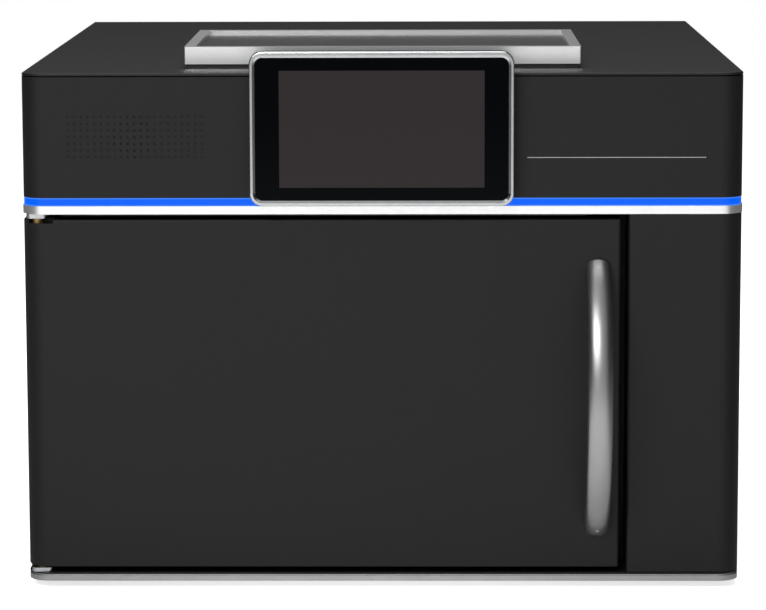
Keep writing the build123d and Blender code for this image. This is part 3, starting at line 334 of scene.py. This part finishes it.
bronze = metal("Sintered bronze", (0.35, 0.22, 0.09), (0.52, 0.35, 0.16), 0.45, pitch=0.8, depth=0.01)
copper_wire = metal("Enamelled copper", (0.3, 0.09, 0.03), (0.5, 0.18, 0.07), 0.3, stretch=along_x,
                    pitch=1.6, depth=0.12)
contact_gold = metal("Contact gold", (0.6, 0.42, 0.14), (0.78, 0.58, 0.25), 0.25)
fin_aluminium = metal("Mill aluminium", (0.6, 0.6, 0.6), (0.78, 0.78, 0.78), 0.4, stretch=along_z)
print("made", len(bpy.data.materials), "materials so far")

# %% [markdown]
# Sheet steel near the chamber is stainless that has been warm many times. It keeps its brushing, and
# picks up straw and brown clouds, which are a colour change in the metal and not a coat on it.


# %% Heat-tinted steel
def tinted_steel(name, tint, amount):
    """Brushed stainless with heat clouds of one tint."""
    material, tree, shader = bare_finish(name, metallic=1.0)
    lines = place_group(tree, brushing, object_vector(tree, along_x), Pitch_mm=0.5)
    clouds = place_group(tree, blotches, object_vector(tree), Scale=14.0, Amount=amount)
    plain = mix_colours(tree, lines.outputs["Shade"], (0.42, 0.42, 0.42), (0.62, 0.62, 0.61))
    tinted = mix_colours(tree, clouds.outputs["Mask"], plain, tint)
    tree.links.new(tinted, shader.inputs["Base Color"])
    uneven_gloss(tree, shader, 0.34, 0.2)
    bump_from(tree, shader, lines.outputs["Height"], 0.005)
    return material


door_steel = tinted_steel("Stainless sheet", (0.42, 0.34, 0.24), 0.35)
hot_steel = tinted_steel("Heat-tinted stainless", (0.3, 0.2, 0.12), 0.8)
print("made", door_steel.name, "and", hot_steel.name)

# %% [markdown]
# Ceramic fibre board is pressed from white fibres: almost chalk white, very dull, with a felted
# surface and cream clouds where it has been fired. The grain is larger and deeper than on paint.


# %% Fibre board
def fibre_board(name, white, cream, amount, size, depth):
    """Felted ceramic fibre with cream clouds."""
    material, tree, shader = bare_finish(name, specular=0.1, Sheen_Weight=0.15)
    vector = object_vector(tree)
    felt = place_group(tree, grain, vector, Size_mm=size, Contrast=2.0)
    clouds = place_group(tree, blotches, vector, Scale=11.0, Amount=amount)
    darker = tuple(0.86 * part for part in white)
    surface = mix_colours(tree, felt.outputs["Shade"], darker, white)
    clouded = mix_colours(tree, clouds.outputs["Mask"], surface, cream)
    tree.links.new(clouded, shader.inputs["Base Color"])
    uneven_gloss(tree, shader, 0.92, 0.06)
    bump_from(tree, shader, felt.outputs["Height"], depth)
    return material


chamber_board = fibre_board("Chamber fibre board", (0.8, 0.79, 0.75), (0.62, 0.52, 0.38),
                            amount=0.55, size=2.4, depth=0.35)
core_wool = fibre_board("Mineral wool", (0.6, 0.58, 0.5), (0.5, 0.45, 0.33),
                        amount=0.5, size=3.5, depth=0.8)
print("made", chamber_board.name, "and", core_wool.name)

# %% [markdown]
# The light strip is a clear guide with blue lamps behind it. It glows evenly along its length, and
# its upper and lower rims look paler, because light leaves the guide there. So the blue shifts towards
# sky blue within a millimetre of each rim, read from the height above the bench.

# %% Blue light guide
strip_low, strip_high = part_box("light_strip")
strip_middle = (strip_low.z + strip_high.z) / 2
strip_half = (strip_high.z - strip_low.z) / 2
rim_start = strip_half - 1.5 * mm
rim_end = strip_half - 0.2 * mm
light_guide, tree, shader = bare_finish("Blue light guide", specular=0.15)
shader.inputs["Emission Strength"].default_value = 0.95
shader.inputs["Base Color"].default_value = (0.0, 0.01, 0.06, 1.0)
up_strip = math_node(tree, "SUBTRACT", split_axes(tree, object_vector(tree))["Z"], strip_middle)
rim = soft_step(tree, math_node(tree, "ABSOLUTE", up_strip), rim_start, rim_end, high=0.75)
glow = mix_colours(tree, rim, (0.0, 0.118, 0.96), (0.07, 0.28, 1.0))
tree.links.new(glow, shader.inputs["Emission Color"])
uneven_gloss(tree, shader, 0.22, 0.1)
print("strip", round(2 * strip_half / mm, 2), "mm high")

# %% [markdown]
# The screen is one sheet of black cover glass. Behind it the display glows a dark, slightly warm grey
# over a rectangle, and everything round that is the black border printed on the back of the glass.
# The rectangle is a mask from four soft steps on X and Z, and it feeds only the glow.

# %% Cover glass with its lit rectangle
lit_width = 158.1 * mm
lit_low = 319.1 * mm
lit_high = 409.4 * mm
lit_edge = 0.25 * mm
cover_glass, tree, shader = bare_finish("Black cover glass", specular=0.04)
place = split_axes(tree, object_vector(tree))


def inside(tree, value, low, high, edge):
    """1 where a value lies between low and high, with a soft edge."""
    half_span = (high - low) / 2
    distance = math_node(tree, "ABSOLUTE", math_node(tree, "SUBTRACT", value, (low + high) / 2))
    return soft_step(tree, distance, half_span - edge, half_span + edge, low=1.0, high=0.0)


across = inside(tree, place["X"], -lit_width / 2, lit_width / 2, lit_edge)
upright = inside(tree, place["Z"], lit_low, lit_high, lit_edge)
lit = math_node(tree, "MULTIPLY", across, upright)
glow = mix_colours(tree, lit, (0.0, 0.0, 0.0), (0.030, 0.0255, 0.0265))
border = mix_colours(tree, lit, (0.0002, 0.0006, 0.0012), (0.002, 0.0018, 0.0018))
tree.links.new(glow, shader.inputs["Emission Color"])
tree.links.new(border, shader.inputs["Base Color"])
shader.inputs["Emission Strength"].default_value = 1.0
uneven_gloss(tree, shader, 0.07, 0.08)
print("lit area", round(lit_width / mm, 1), "x", round((lit_high - lit_low) / mm, 1), "mm")

# %% [markdown]
# The tray plate is dark glass ceramic. It is smooth and lets broad soft streaks show across it, which
# run from front to back. A stretched noise moves both its colour and its gloss.

# %% Dark tray plate
tray_stone, tree, shader = bare_finish("Dark glass ceramic", specular=0.5)
streaks = place_group(tree, brushing, object_vector(tree, (1.0, 0.05, 1.0)), Pitch_mm=9.0)
streaked = mix_colours(tree, streaks.outputs["Shade"], (0.014, 0.014, 0.015), (0.04, 0.04, 0.041))
tree.links.new(streaked, shader.inputs["Base Color"])
uneven_gloss(tree, shader, 0.3, 0.15)
print("made", tray_stone.name)

# %% [markdown]
# A circuit board is green lacquer over copper tracks. Its parts are dark blocks. Nobody sees the one
# in here unless the cover comes off, so a grained green does.

# %% Circuit board and transformer varnish
solder_mask = grained("Green solder mask", (0.008, 0.07, 0.03), (0.015, 0.12, 0.05), 0.3,
                      size=1.2, depth=0.02)
core_varnish = grained("Core varnish", (0.03, 0.028, 0.026), (0.07, 0.065, 0.06), 0.5,
                       size=0.5, depth=0.05)
print("made", solder_mask.name, "and", core_varnish.name)

# %% [markdown]
# Now each CAD node gets its finish. A node's mesh has one material slot, so the new material takes
# the place of the plain one that came with the model.

# %% Put the finishes on the nodes
finishes = {
    # The front frame takes the black coat as painted shade: its face shows in the dark gap beside the
    # door, which is in shade.
    powder_coat: ["left_side_panel", "right_side_panel", "right_front_panel", "upper_shell",
                  "top_cover", "rear_panel", "door_skin", "chassis_pan", "mid_deck", "front_frame"],
    satin_aluminium: ["waist_trim"],
    base_metal: ["base_plate"],
    brushed_bar: ["tray_frame"],
    satin_nickel: ["door_handle"],
    bezel_metal: ["display_bezel"],
    zinc_plate: ["panel_screws", "handle_screws", "hinge_arms", "magnetron", "lock_bolt",
                 "hv_capacitor"],
    bronze: ["hinge_bushes"],
    copper_wire: ["transformer_coils"],
    fin_aluminium: ["magnetron_fins", "waveguide"],
    door_steel: ["door_inner_panel", "door_tongue", "exhaust_collar"],
    hot_steel: ["cavity_box", "exhaust_duct", "thermocouple"],
    chamber_board: ["muffle_floor", "muffle_roof", "muffle_sides", "muffle_back", "door_plug",
                    "door_seal"],
    core_wool: ["door_core"],
    light_guide: ["light_strip"],
    cover_glass: ["display_glass"],
    tray_stone: ["tray_plate"],
    solder_mask: ["control_board"],
    core_varnish: ["transformer_core"],
    carbide: ["heating_plates"],
    white_ceramic: ["hearth_plate", "flue_tube"],
    foot_rubber: ["feet"],
    guard_paint: ["fan_guards"],
    gloss_plastic: ["power_rocker", "lcd_panel"],
    black_plastic: ["lock_solenoid", "interlock_switches", "speaker", "display_housing", "fan_housings",
                    "fan_rotor_lower", "fan_rotor_upper", "power_inlet", "port_block", "tray_base"],
}
for material, names in finishes.items():
    for name in names:
        nodes[name].data.materials.clear()
        nodes[name].data.materials.append(material)
dressed = {name for names in finishes.values() for name in names}
print("dressed", len(dressed), "nodes; left over:", sorted(set(nodes) - dressed))

# %% [markdown]
# New pieces are drawn with bmesh operators and then handed to one function, which makes the object,
# gives it its finish, and lets it ride on its body.


# %% Turn a bmesh into a riding piece
def make_piece(bm, name, material, body, replaces=()):
    """Writes a bmesh to an object at the origin, ready for the frame."""
    mesh = bpy.data.meshes.new(name)
    bmesh.ops.recalc_face_normals(bm, faces=bm.faces)
    bm.to_mesh(mesh)
    bm.free()
    mesh.materials.append(material)
    piece = bpy.data.objects.new(name, mesh)
    bpy.context.scene.collection.objects.link(piece)
    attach(piece, body)
    if replaces:
        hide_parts(*replaces)
    print(name, "has", len(mesh.polygons), "faces")
    return piece


facing_front = Matrix.Rotation(math.radians(90.0), 4, "X")
facing_back = Matrix.Rotation(math.radians(-90.0), 4, "X")
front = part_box("upper_shell")[0].y
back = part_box("rear_panel")[1].y
print("front face at", round(front, 4), "and back face at", round(back, 4))

# %% [markdown]
# Round the open loudspeaker holes the same grid goes on as small dimples that are closed behind. They
# are coloured a little darker than the paint, as painted shade for the shade inside the closed holes.
# Each is a shallow dished disc, set on the fascia.

# %% Loudspeaker dimples
speaker_middle = middle_of("speaker")
dot_pitch = 5.2 * mm
dot_columns = 21
dot_rows = 7
open_ring = 3.2
dot_radius = 0.95 * mm
dot_lift = 0.03 * mm
dot_points = 14
dish_rim = 0.3 * mm
dish_depth = 0.02 * mm
# The dimples' darker colour is painted shade, standing in for the shade inside the closed holes.
dimple_painted_shade = grained("Dimple painted shade", (0.003, 0.003, 0.003), (0.007, 0.007, 0.007), 0.6,
                       size=0.6, depth=0.02, specular=0.15)
bm = bmesh.new()
for column in range(dot_columns):
    for row in range(dot_rows):
        across = column - (dot_columns - 1) / 2
        up = row - (dot_rows - 1) / 2
        if math.hypot(across, up) <= open_ring:
            continue
        place = Vector((speaker_middle.x + across * dot_pitch, front - dot_lift,
                        speaker_middle.z + up * dot_pitch))
        made = bmesh.ops.create_circle(bm, cap_ends=True, segments=dot_points, radius=dot_radius,
                                       matrix=Matrix.Translation(place) @ facing_front)
        cap = made["verts"][0].link_faces[:]
        bmesh.ops.inset_individual(bm, faces=cap, thickness=dish_rim, depth=-dish_depth)
make_piece(bm, "speaker_dimples", dimple_painted_shade, "cabinet")

# %% [markdown]
# A thin rule is printed on the right of the fascia. Printing is a film of ink, so it is a hair-thin
# bar that stands a few hundredths of a millimetre off the paint.

# %% Printed rule
rule_left = 112.5 * mm
rule_right = 250.5 * mm
rule_z = 341.0 * mm
rule_height = 0.55 * mm
rule_film = 0.04 * mm
rule_ink = grained("Pale grey ink", (0.3, 0.3, 0.3), (0.42, 0.42, 0.42), 0.5,
                   size=0.5, depth=0.004)
bm = bmesh.new()
size = Matrix.Diagonal((rule_right - rule_left, rule_film, rule_height, 1.0))
place = Matrix.Translation(((rule_left + rule_right) / 2, front - rule_film / 2, rule_z))
bmesh.ops.create_cube(bm, size=1.0, matrix=place @ size)
make_piece(bm, "fascia_rule", rule_ink, "cabinet")

# %% [markdown]
# The handle is a bar of oval section, bowed like a shallow arch, whose ends run into the door. A lathe
# operation in the plane of the bow makes it in one go: an oval is spun about the centre of the arch.
# What would stick through the door is cut away on the door's face. The bow is worked out from the box
# of the CAD handle, so the piece lies where that one is, within half a millimetre.

# %% Door handle
handle_low, handle_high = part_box("door_handle")
oval_width = handle_high.x - handle_low.x
oval_thickness = 13.0 * mm
end_inset = 8.0 * mm
reach = front - handle_low.y
half_chord = (handle_high.z - handle_low.z) / 2 - end_inset
sag = reach - oval_thickness / 2
bow_radius = (half_chord ** 2 + sag ** 2) / (2 * sag)
bow_spread = math.asin(half_chord / bow_radius) + oval_thickness / bow_radius
handle_middle = middle_of("door_handle")
bow_centre = Vector((handle_middle.x, front - sag + bow_radius, handle_middle.z))
oval_points = 32
bow_steps = 72
bm = bmesh.new()
oval = bmesh.ops.create_circle(bm, segments=oval_points, radius=1.0)["verts"]
bmesh.ops.scale(bm, verts=oval, vec=(oval_width / 2, oval_thickness / 2, 1.0))
bmesh.ops.translate(bm, verts=oval, vec=(0.0, -bow_radius, 0.0))
bmesh.ops.rotate(bm, verts=oval, cent=(0.0, 0.0, 0.0),
                 matrix=Matrix.Rotation(-bow_spread, 3, "X"))
bmesh.ops.spin(bm, geom=bm.edges[:], cent=(0.0, 0.0, 0.0), axis=(1.0, 0.0, 0.0),
               angle=2 * bow_spread, steps=bow_steps, use_merge=False)
bmesh.ops.translate(bm, verts=bm.verts, vec=bow_centre)
ends_cut = bmesh.ops.bisect_plane(bm, geom=bm.verts[:] + bm.edges[:] + bm.faces[:],
                                  plane_co=(0.0, front, 0.0), plane_no=(0.0, 1.0, 0.0),
                                  clear_outer=True)
rims = [item for item in ends_cut["geom_cut"] if isinstance(item, bmesh.types.BMEdge)]
bmesh.ops.holes_fill(bm, edges=rims, sides=0)
handle = make_piece(bm, "door_handle_bar", satin_nickel, "door",
                    replaces=("door_handle",))
handle.data.shade_smooth()
print("handle bowed to a radius of", round(bow_radius / mm, 1), "mm")

# %% [markdown]
# The door seal is a flat braid of ceramic fibre, glued round the plug. It is drawn as one flattened
# tube that goes round a rounded rectangle, and each face keeps how far along and how far round it
# lies in a UV map. Two sets of slanting threads in that map then cross each other like a real braid.

# %% Braided seal
seal_low, seal_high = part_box("door_seal")
seal_width = 8.0 * mm
seal_corner = 12.0 * mm
braid_points = 12
corner_steps = 8
run_step = 6.0 * mm


def walk_rounded_rectangle(low, high, radius, step, corner_steps):
    """Stops, as x and z, once round a rounded rectangle that faces the front."""
    stops = []
    corners = [(high.x - radius, low.z + radius, -90.0), (high.x - radius, high.z - radius, 0.0),
               (low.x + radius, high.z - radius, 90.0), (low.x + radius, low.z + radius, 180.0)]
    for number, (cx, cz, start) in enumerate(corners):
        for part in range(corner_steps + 1):
            angle = math.radians(start + 90.0 * part / corner_steps)
            stops.append(Vector((cx + radius * math.cos(angle), cz + radius * math.sin(angle))))
        nx, nz, nstart = corners[(number + 1) % 4]
        angle = math.radians(nstart)
        goal = Vector((nx + radius * math.cos(angle), nz + radius * math.sin(angle)))
        here = stops[-1]
        pieces = max(int((goal - here).length / step), 1)
        stops += [here.lerp(goal, part / pieces) for part in range(1, pieces)]
    return stops


middle_low = seal_low + Vector((seal_width / 2, 0.0, seal_width / 2))
middle_high = seal_high - Vector((seal_width / 2, 0.0, seal_width / 2))
stops = walk_rounded_rectangle(middle_low, middle_high, seal_corner - seal_width / 2, run_step,
                               corner_steps)
seal_y = (seal_low.y + seal_high.y) / 2
seal_half_depth = (seal_high.y - seal_low.y) / 2
bm = bmesh.new()
uv_layer = bm.loops.layers.uv.new("braid")
rings = []
for number, stop in enumerate(stops):
    ahead_stop = stops[(number + 1) % len(stops)]
    behind_stop = stops[number - 1]
    heading = (ahead_stop - behind_stop).normalized()
    across = Vector((heading.y, 0.0, -heading.x))
    ring = bmesh.ops.create_circle(bm, segments=braid_points, radius=1.0)["verts"]
    for vert in ring:
        vert.co = (Vector((stop.x, seal_y, stop.y)) + across * (vert.co.x * seal_width / 2)
                   + Vector((0.0, vert.co.y * seal_half_depth, 0.0)))
    rings.append(ring)
distances = [0.0]
for number in range(len(stops)):
    step_length = (stops[(number + 1) % len(stops)] - stops[number]).length
    distances.append(distances[-1] + step_length)
for number, ring in enumerate(rings):
    after = rings[(number + 1) % len(rings)]
    for point in range(braid_points):
        beyond = (point + 1) % braid_points
        face = bm.faces.new((ring[point], ring[beyond], after[beyond], after[point]))
        face.smooth = True
        corners = ((number, point), (number, point + 1), (number + 1, point + 1),
                   (number + 1, point))
        for loop, (along, round_it) in zip(face.loops, corners):
            loop[uv_layer].uv = (distances[along] / seal_width, round_it / braid_points)

braid, tree, shader = bare_finish("Braided ceramic fibre", specular=0.1, Sheen_Weight=0.2)
uv_map = add_node(tree, "ShaderNodeUVMap", uv_map="braid")
spot = split_axes(tree, uv_map.outputs["UV"])
threads_per_width = 3.0
threads_round = 8.0
along = math_node(tree, "MULTIPLY", spot["X"], threads_per_width)
round_it = math_node(tree, "MULTIPLY", spot["Y"], threads_round)
waves = []
for operation in ("ADD", "SUBTRACT"):
    slant = math_node(tree, operation, along, round_it)
    waves.append(math_node(tree, "SINE", math_node(tree, "MULTIPLY", slant, math.tau)))
weave = math_node(tree, "MULTIPLY", math_node(tree, "MAXIMUM", *waves), 0.5)
weave = math_node(tree, "ADD", weave, 0.5)
clouds = place_group(tree, blotches, object_vector(tree), Scale=16.0, Amount=0.6)
# Where the weave is low, between the threads, the colour darkens: painted shade in the gaps of the
# braid.
threads_with_gap_shade = mix_colours(tree, weave, (0.34, 0.32, 0.28), (0.72, 0.7, 0.64))
stained = mix_colours(tree, clouds.outputs["Mask"], threads_with_gap_shade, (0.45, 0.36, 0.25))
tree.links.new(stained, shader.inputs["Base Color"])
shader.inputs["Roughness"].default_value = 0.9
bump_from(tree, shader, weave, 0.5)
make_piece(bm, "seal_braid", braid, "door", replaces=("door_seal",))

# %% [markdown]
# The casing is held by pan-head screws with a six-lobed socket. A screw head is a disc that is raised
# and inset in steps, and then pushed in at the middle. Each step gives an inset in millimetres and a
# rise as a share of the head's height. Before the last step every other point of the inner ring moves
# towards the axis, which gives the lobes.

# %% Screw heads
screw_points = 12
screw_radius = 3.5 * mm
screw_height = 2.2 * mm
least_inset = 0.001
head_steps = ((least_inset, 0.55), (0.35, 0.3), (0.6, 0.15), (1.15, 0.0), (0.05, -0.6))
lobe_pinch = 0.78


def add_screw(bm, place, turn):
    """One pan-head screw standing on a face, its axis along +Z before the turn."""
    verts = bmesh.ops.create_circle(bm, cap_ends=True, segments=screw_points,
                                    radius=screw_radius)["verts"]
    face = verts[0].link_faces[0]
    bmesh.ops.recalc_face_normals(bm, faces=[face])
    if face.normal.z < 0:
        face.normal_flip()
    for number, (inset, rise) in enumerate(head_steps, start=1):
        made = bmesh.ops.inset_individual(bm, faces=[face], thickness=inset * mm,
                                          depth=rise * screw_height)
        verts += [vert for ring in made["faces"] for vert in ring.verts if vert not in verts]
        if number == len(head_steps) - 1:
            middle = face.calc_center_median()
            bmesh.ops.scale(bm, verts=list(face.verts)[::2], vec=(lobe_pinch, lobe_pinch, 1.0),
                            space=Matrix.Translation(-middle))
    for vert in set(verts):
        vert.co = place + turn @ vert.co


panel_low, panel_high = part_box("left_side_panel")
rear_low, rear_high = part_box("rear_panel")
side_x = abs(panel_low.x)
screw_edge = 10.0 * mm
side_screw_edge = 6.0 * mm
wall = 2.0 * mm
row_low = rear_low.z + screw_edge
row_high = rear_high.z - screw_edge
column_x = side_x - wall - screw_edge
column_screws = 4
spread_x = 140.0 * mm
rises = [row_low + (row_high - row_low) * number / (column_screws - 1)
         for number in range(column_screws)]
back_places = [(sign * column_x, z) for sign in (-1, 1) for z in rises]
back_places += [(x, z) for x in (-spread_x, 0.0, spread_x) for z in (row_low, row_high)]
bm = bmesh.new()
to_back = Matrix.Rotation(math.radians(-90.0), 3, "X")
for x, z in back_places:
    add_screw(bm, Vector((x, back, z)), to_back)
near_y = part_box("front_frame")[1].y + 3 * screw_edge
far_y = back - 2 * screw_edge
side_low = panel_low.z + side_screw_edge
side_high = panel_high.z - side_screw_edge
for sign in (-1, 1):
    to_side = Matrix.Rotation(math.radians(sign * 90.0), 3, "Y")
    for y in (near_y, (near_y + far_y) / 2, far_y):
        for z in (side_low, side_high):
            add_screw(bm, Vector((sign * side_x, y, z)), to_side)
make_piece(bm, "casing_screws", zinc_plate, "cabinet", replaces=("panel_screws",))

# %% [markdown]
# The rocker carries the two usual marks, a bar for on and a ring for off, partly let into its two
# sloping faces. They ride on the rocker, so they tilt with it. The socket below it has three metal
# blades, drawn as thin sleeves over the moulded ones.

# %% Rocker marks
rocker_middle = middle_of("power_rocker")
rocker_tilt = Matrix.Rotation(math.radians(7.0), 3, "X")
face_fall = math.atan2(1.2, 13.0)
pivot = Vector((rocker_middle.x, back + 1.0 * mm, rocker_middle.z))
centre = (0.0, 0.0, 0.0)
mark_paint = grained("White mark", (0.7, 0.7, 0.7), (0.82, 0.82, 0.82), 0.45, size=0.5, depth=0.003)
mark_rise = 0.95 * mm
mark_from_pivot = 7.0 * mm
bar_size = Vector((0.9, 0.2, 4.6)) * mm
ring_points = 28
ring_radius = 2.4 * mm
ring_line = 0.7 * mm
ring_rise = 0.15 * mm


def add_bar(bm):
    """The mark for on."""
    bmesh.ops.create_cube(bm, size=1.0, matrix=Matrix.Diagonal((*bar_size, 1.0)))


def add_ring(bm):
    """The mark for off: an inset disc without its middle, raised."""
    bmesh.ops.create_circle(bm, segments=ring_points, radius=ring_radius, cap_ends=True,
                            matrix=facing_back)
    bmesh.ops.inset_individual(bm, faces=bm.faces[:], thickness=ring_line, depth=0.0)
    inner = max(bm.faces, key=lambda face: len(face.verts))
    bmesh.ops.delete(bm, geom=[inner], context="FACES")
    grown = bmesh.ops.extrude_face_region(bm, geom=bm.faces[:])["geom"]
    raised = [item for item in grown if isinstance(item, bmesh.types.BMVert)]
    bmesh.ops.translate(bm, verts=raised, vec=(0.0, ring_rise, 0.0))


for name, add_mark, upward in (("rocker_mark_on", add_bar, 1.0), ("rocker_mark_off", add_ring, -1.0)):
    bm = bmesh.new()
    add_mark(bm)
    bmesh.ops.rotate(bm, verts=bm.verts, cent=centre,
                     matrix=Matrix.Rotation(upward * face_fall, 3, "X"))
    bmesh.ops.translate(bm, verts=bm.verts, vec=(0.0, mark_rise, upward * mark_from_pivot))
    bmesh.ops.rotate(bm, verts=bm.verts, cent=centre, matrix=rocker_tilt)
    bmesh.ops.translate(bm, verts=bm.verts, vec=pivot)
    make_piece(bm, name, mark_paint, "rocker")

# %% Socket blades
inlet_low, inlet_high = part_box("power_inlet")
socket_x = (inlet_low.x + inlet_high.x) / 2
socket_z = inlet_low.z + 24.0 * mm
blade_depth = 10.05 * mm
blade_size = Matrix.Diagonal((2.1 * mm, 14.2 * mm, 5.1 * mm, 1.0))
bm = bmesh.new()
for across, up in ((0.0, 4.0), (-7.0, -3.0), (7.0, -3.0)):
    place = Matrix.Translation((socket_x + across * mm, back - blade_depth, socket_z + up * mm))
    bmesh.ops.create_cube(bm, size=1.0, matrix=place @ blade_size)
make_piece(bm, "socket_blades", zinc_plate, "cabinet")

# %% [markdown]
# Each data socket shows a row of gold contacts at the bottom of its recess. They are thin bars, as
# many as fit across the opening. The table gives each socket's place across the plate, its width and
# its height, in millimetres.

# %% Port contacts
port_middle = middle_of("port_block")
port_sockets = ((-28.0, 16.0, 13.0), (-4.0, 14.0, 6.0), (16.0, 14.0, 6.0), (33.0, 9.0, 9.0))
contact_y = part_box("port_block")[1].y - 2.7 * mm
contact_pitch = 1.4
contact_width = 0.7 * mm
contact_depth = 0.8 * mm
contact_share = 0.55
side_room = 3.0
bm = bmesh.new()
for across, width, height in port_sockets:
    count = int((width - side_room) / contact_pitch)
    size = Matrix.Diagonal((contact_width, contact_depth, contact_share * height * mm, 1.0))
    for number in range(count):
        x = port_middle.x + (across + (number - (count - 1) / 2) * contact_pitch) * mm
        place = Matrix.Translation((x, contact_y, port_middle.z))
        bmesh.ops.create_cube(bm, size=1.0, matrix=place @ size)
make_piece(bm, "port_contacts", contact_gold, "cabinet")

# %% [markdown]
# The photograph was taken from almost straight ahead, a little above, with a long lens. The place,
# the tilt and the lens below come from a fit to the furnace's corners.

# %% Camera
camera_tilt_down = 8.4609
camera_roll = 0.1441
camera_turn = 0.6973
camera_data = bpy.data.cameras.new("camera")
camera_data.lens = 161.28
camera_data.sensor_width = 36.0
camera_data.clip_end = 100.0
camera = bpy.data.objects.new("camera", camera_data)
camera.location = (0.03367, -2.93812, 0.61889)
camera.rotation_euler = [math.radians(angle)
                         for angle in (90.0 - camera_tilt_down, camera_roll, camera_turn)]
bpy.context.scene.collection.objects.link(camera)
bpy.context.scene.camera = camera
print("camera", round(camera.location.length, 2), "m from the origin")

# %% [markdown]
# The floor is nearly white, and it glows a little towards the camera so that it stays white far out.
# In the gloss of the furnace it is white only in a wedge in front, and grey beside and behind, as if
# black cards stood at the sides. That keeps the rounded front corners dark.

# %% Floor
wedge_start = -0.3
wedge_slope = 0.8
wedge_half_width = 0.25
wedge_blur = 0.25
camera_glow = 0.7
gloss_glow = 0.3
floor_half = 30.0
floor_paint, tree, shader = bare_finish("Pale studio floor", specular=0.0)
soft = add_node(tree, "ShaderNodeTexNoise", inputs={"Scale": 0.4, "Detail": 1.0})
tree.links.new(object_vector(tree), soft.inputs["Vector"])
white = mix_colours(tree, soft.outputs["Fac"], (0.93, 0.93, 0.93), (0.96, 0.96, 0.96))
side_grey = (0.3, 0.3, 0.3)
shader.inputs["Roughness"].default_value = 0.9
shader.inputs["Emission Color"].default_value = (1.0, 1.0, 1.0, 1.0)
seen_by = add_node(tree, "ShaderNodeLightPath").outputs
shiny = math_node(tree, "MAXIMUM", seen_by["Is Glossy Ray"], seen_by["Is Transmission Ray"])
spot = split_axes(tree, object_vector(tree))
run = math_node(tree, "MULTIPLY", math_node(tree, "SUBTRACT", spot["Y"], wedge_start), -wedge_slope)
beside = math_node(tree, "SUBTRACT", math_node(tree, "ABSOLUTE", spot["X"]), wedge_half_width)
in_front = soft_step(tree, math_node(tree, "SUBTRACT", run, beside), -wedge_blur, wedge_blur)
card = math_node(tree, "MULTIPLY", shiny, math_node(tree, "SUBTRACT", 1.0, in_front))
tree.links.new(mix_colours(tree, card, white, side_grey), shader.inputs["Base Color"])
shiny_front = math_node(tree, "MULTIPLY", shiny, in_front)
lift = math_node(tree, "ADD", math_node(tree, "MULTIPLY", seen_by["Is Camera Ray"], camera_glow),
                 math_node(tree, "MULTIPLY", shiny_front, gloss_glow))
tree.links.new(lift, shader.inputs["Emission Strength"])
bm = bmesh.new()
bmesh.ops.create_grid(bm, x_segments=2, y_segments=2, size=floor_half)
mesh = bpy.data.meshes.new("floor")
bm.to_mesh(mesh)
bm.free()
mesh.materials.append(floor_paint)
floor = bpy.data.objects.new("floor", mesh)
bpy.context.scene.collection.objects.link(floor)
print("floor", 2 * floor_half, "m wide")

# %% [markdown]
# The surround is white to the camera. In the gloss it is bright ahead, between two dark sides, and
# dim behind. What reaches dull surfaces from it is an even fill light.

# %% Surround
fill_light = 0.3
world = bpy.data.worlds.new("studio")
bpy.context.scene.world = world
world.use_nodes = True
tree = world.node_tree
surround = tree.nodes["Background"]
surround.inputs["Color"].default_value = (1.0, 1.0, 1.0, 1.0)
seen_by = add_node(tree, "ShaderNodeLightPath").outputs
direction = split_axes(tree, add_node(tree, "ShaderNodeTexCoord").outputs["Generated"])
towards_front = math_node(tree, "MULTIPLY", direction["Y"], -1.0)
ahead = soft_step(tree, towards_front, 0.0, 0.6, high=0.6)
between_cards = soft_step(tree, math_node(tree, "ABSOLUTE", direction["X"]), 0.5, 0.75, 1.0, 0.0)
behind = soft_step(tree, direction["Y"], 0.5, 0.9, 0.04, 0.12)
seen_in_gloss = math_node(tree, "ADD", math_node(tree, "MULTIPLY", ahead, between_cards), behind)
shiny = math_node(tree, "MAXIMUM", seen_by["Is Glossy Ray"], seen_by["Is Transmission Ray"])
shiny_part = math_node(tree, "MULTIPLY", shiny, seen_in_gloss)
diffuse_part = math_node(tree, "MULTIPLY", seen_by["Is Diffuse Ray"], fill_light)
strength = math_node(tree, "ADD", seen_by["Is Camera Ray"],
                     math_node(tree, "ADD", diffuse_part, shiny_part))
tree.links.new(strength, surround.inputs["Strength"])
print("surround ready")

# %% [markdown]
# One large softbox hangs above the camera, a little to the left, and a second lies over the top.


# %% Softboxes
def softbox(name, place, target, width, height, power):
    """A rectangular area light aimed at a point."""
    data = bpy.data.lights.new(name, "AREA")
    data.shape = "RECTANGLE"
    data.size = width
    data.size_y = height
    data.energy = power
    lamp = bpy.data.objects.new(name, data)
    lamp.location = place
    lamp.rotation_euler = (Vector(target) - Vector(place)).to_track_quat("-Z", "Y").to_euler()
    bpy.context.scene.collection.objects.link(lamp)
    return lamp


softbox("key", (-0.9, -2.6, 2.0), (0.0, -0.4, 0.2), 1.8, 1.0, 64.0)
softbox("top", (0.0, 0.3, 2.4), (0.0, 0.0, 0.3), 1.8, 1.6, 44.0)
bpy.context.scene.view_settings.view_transform = "Standard"
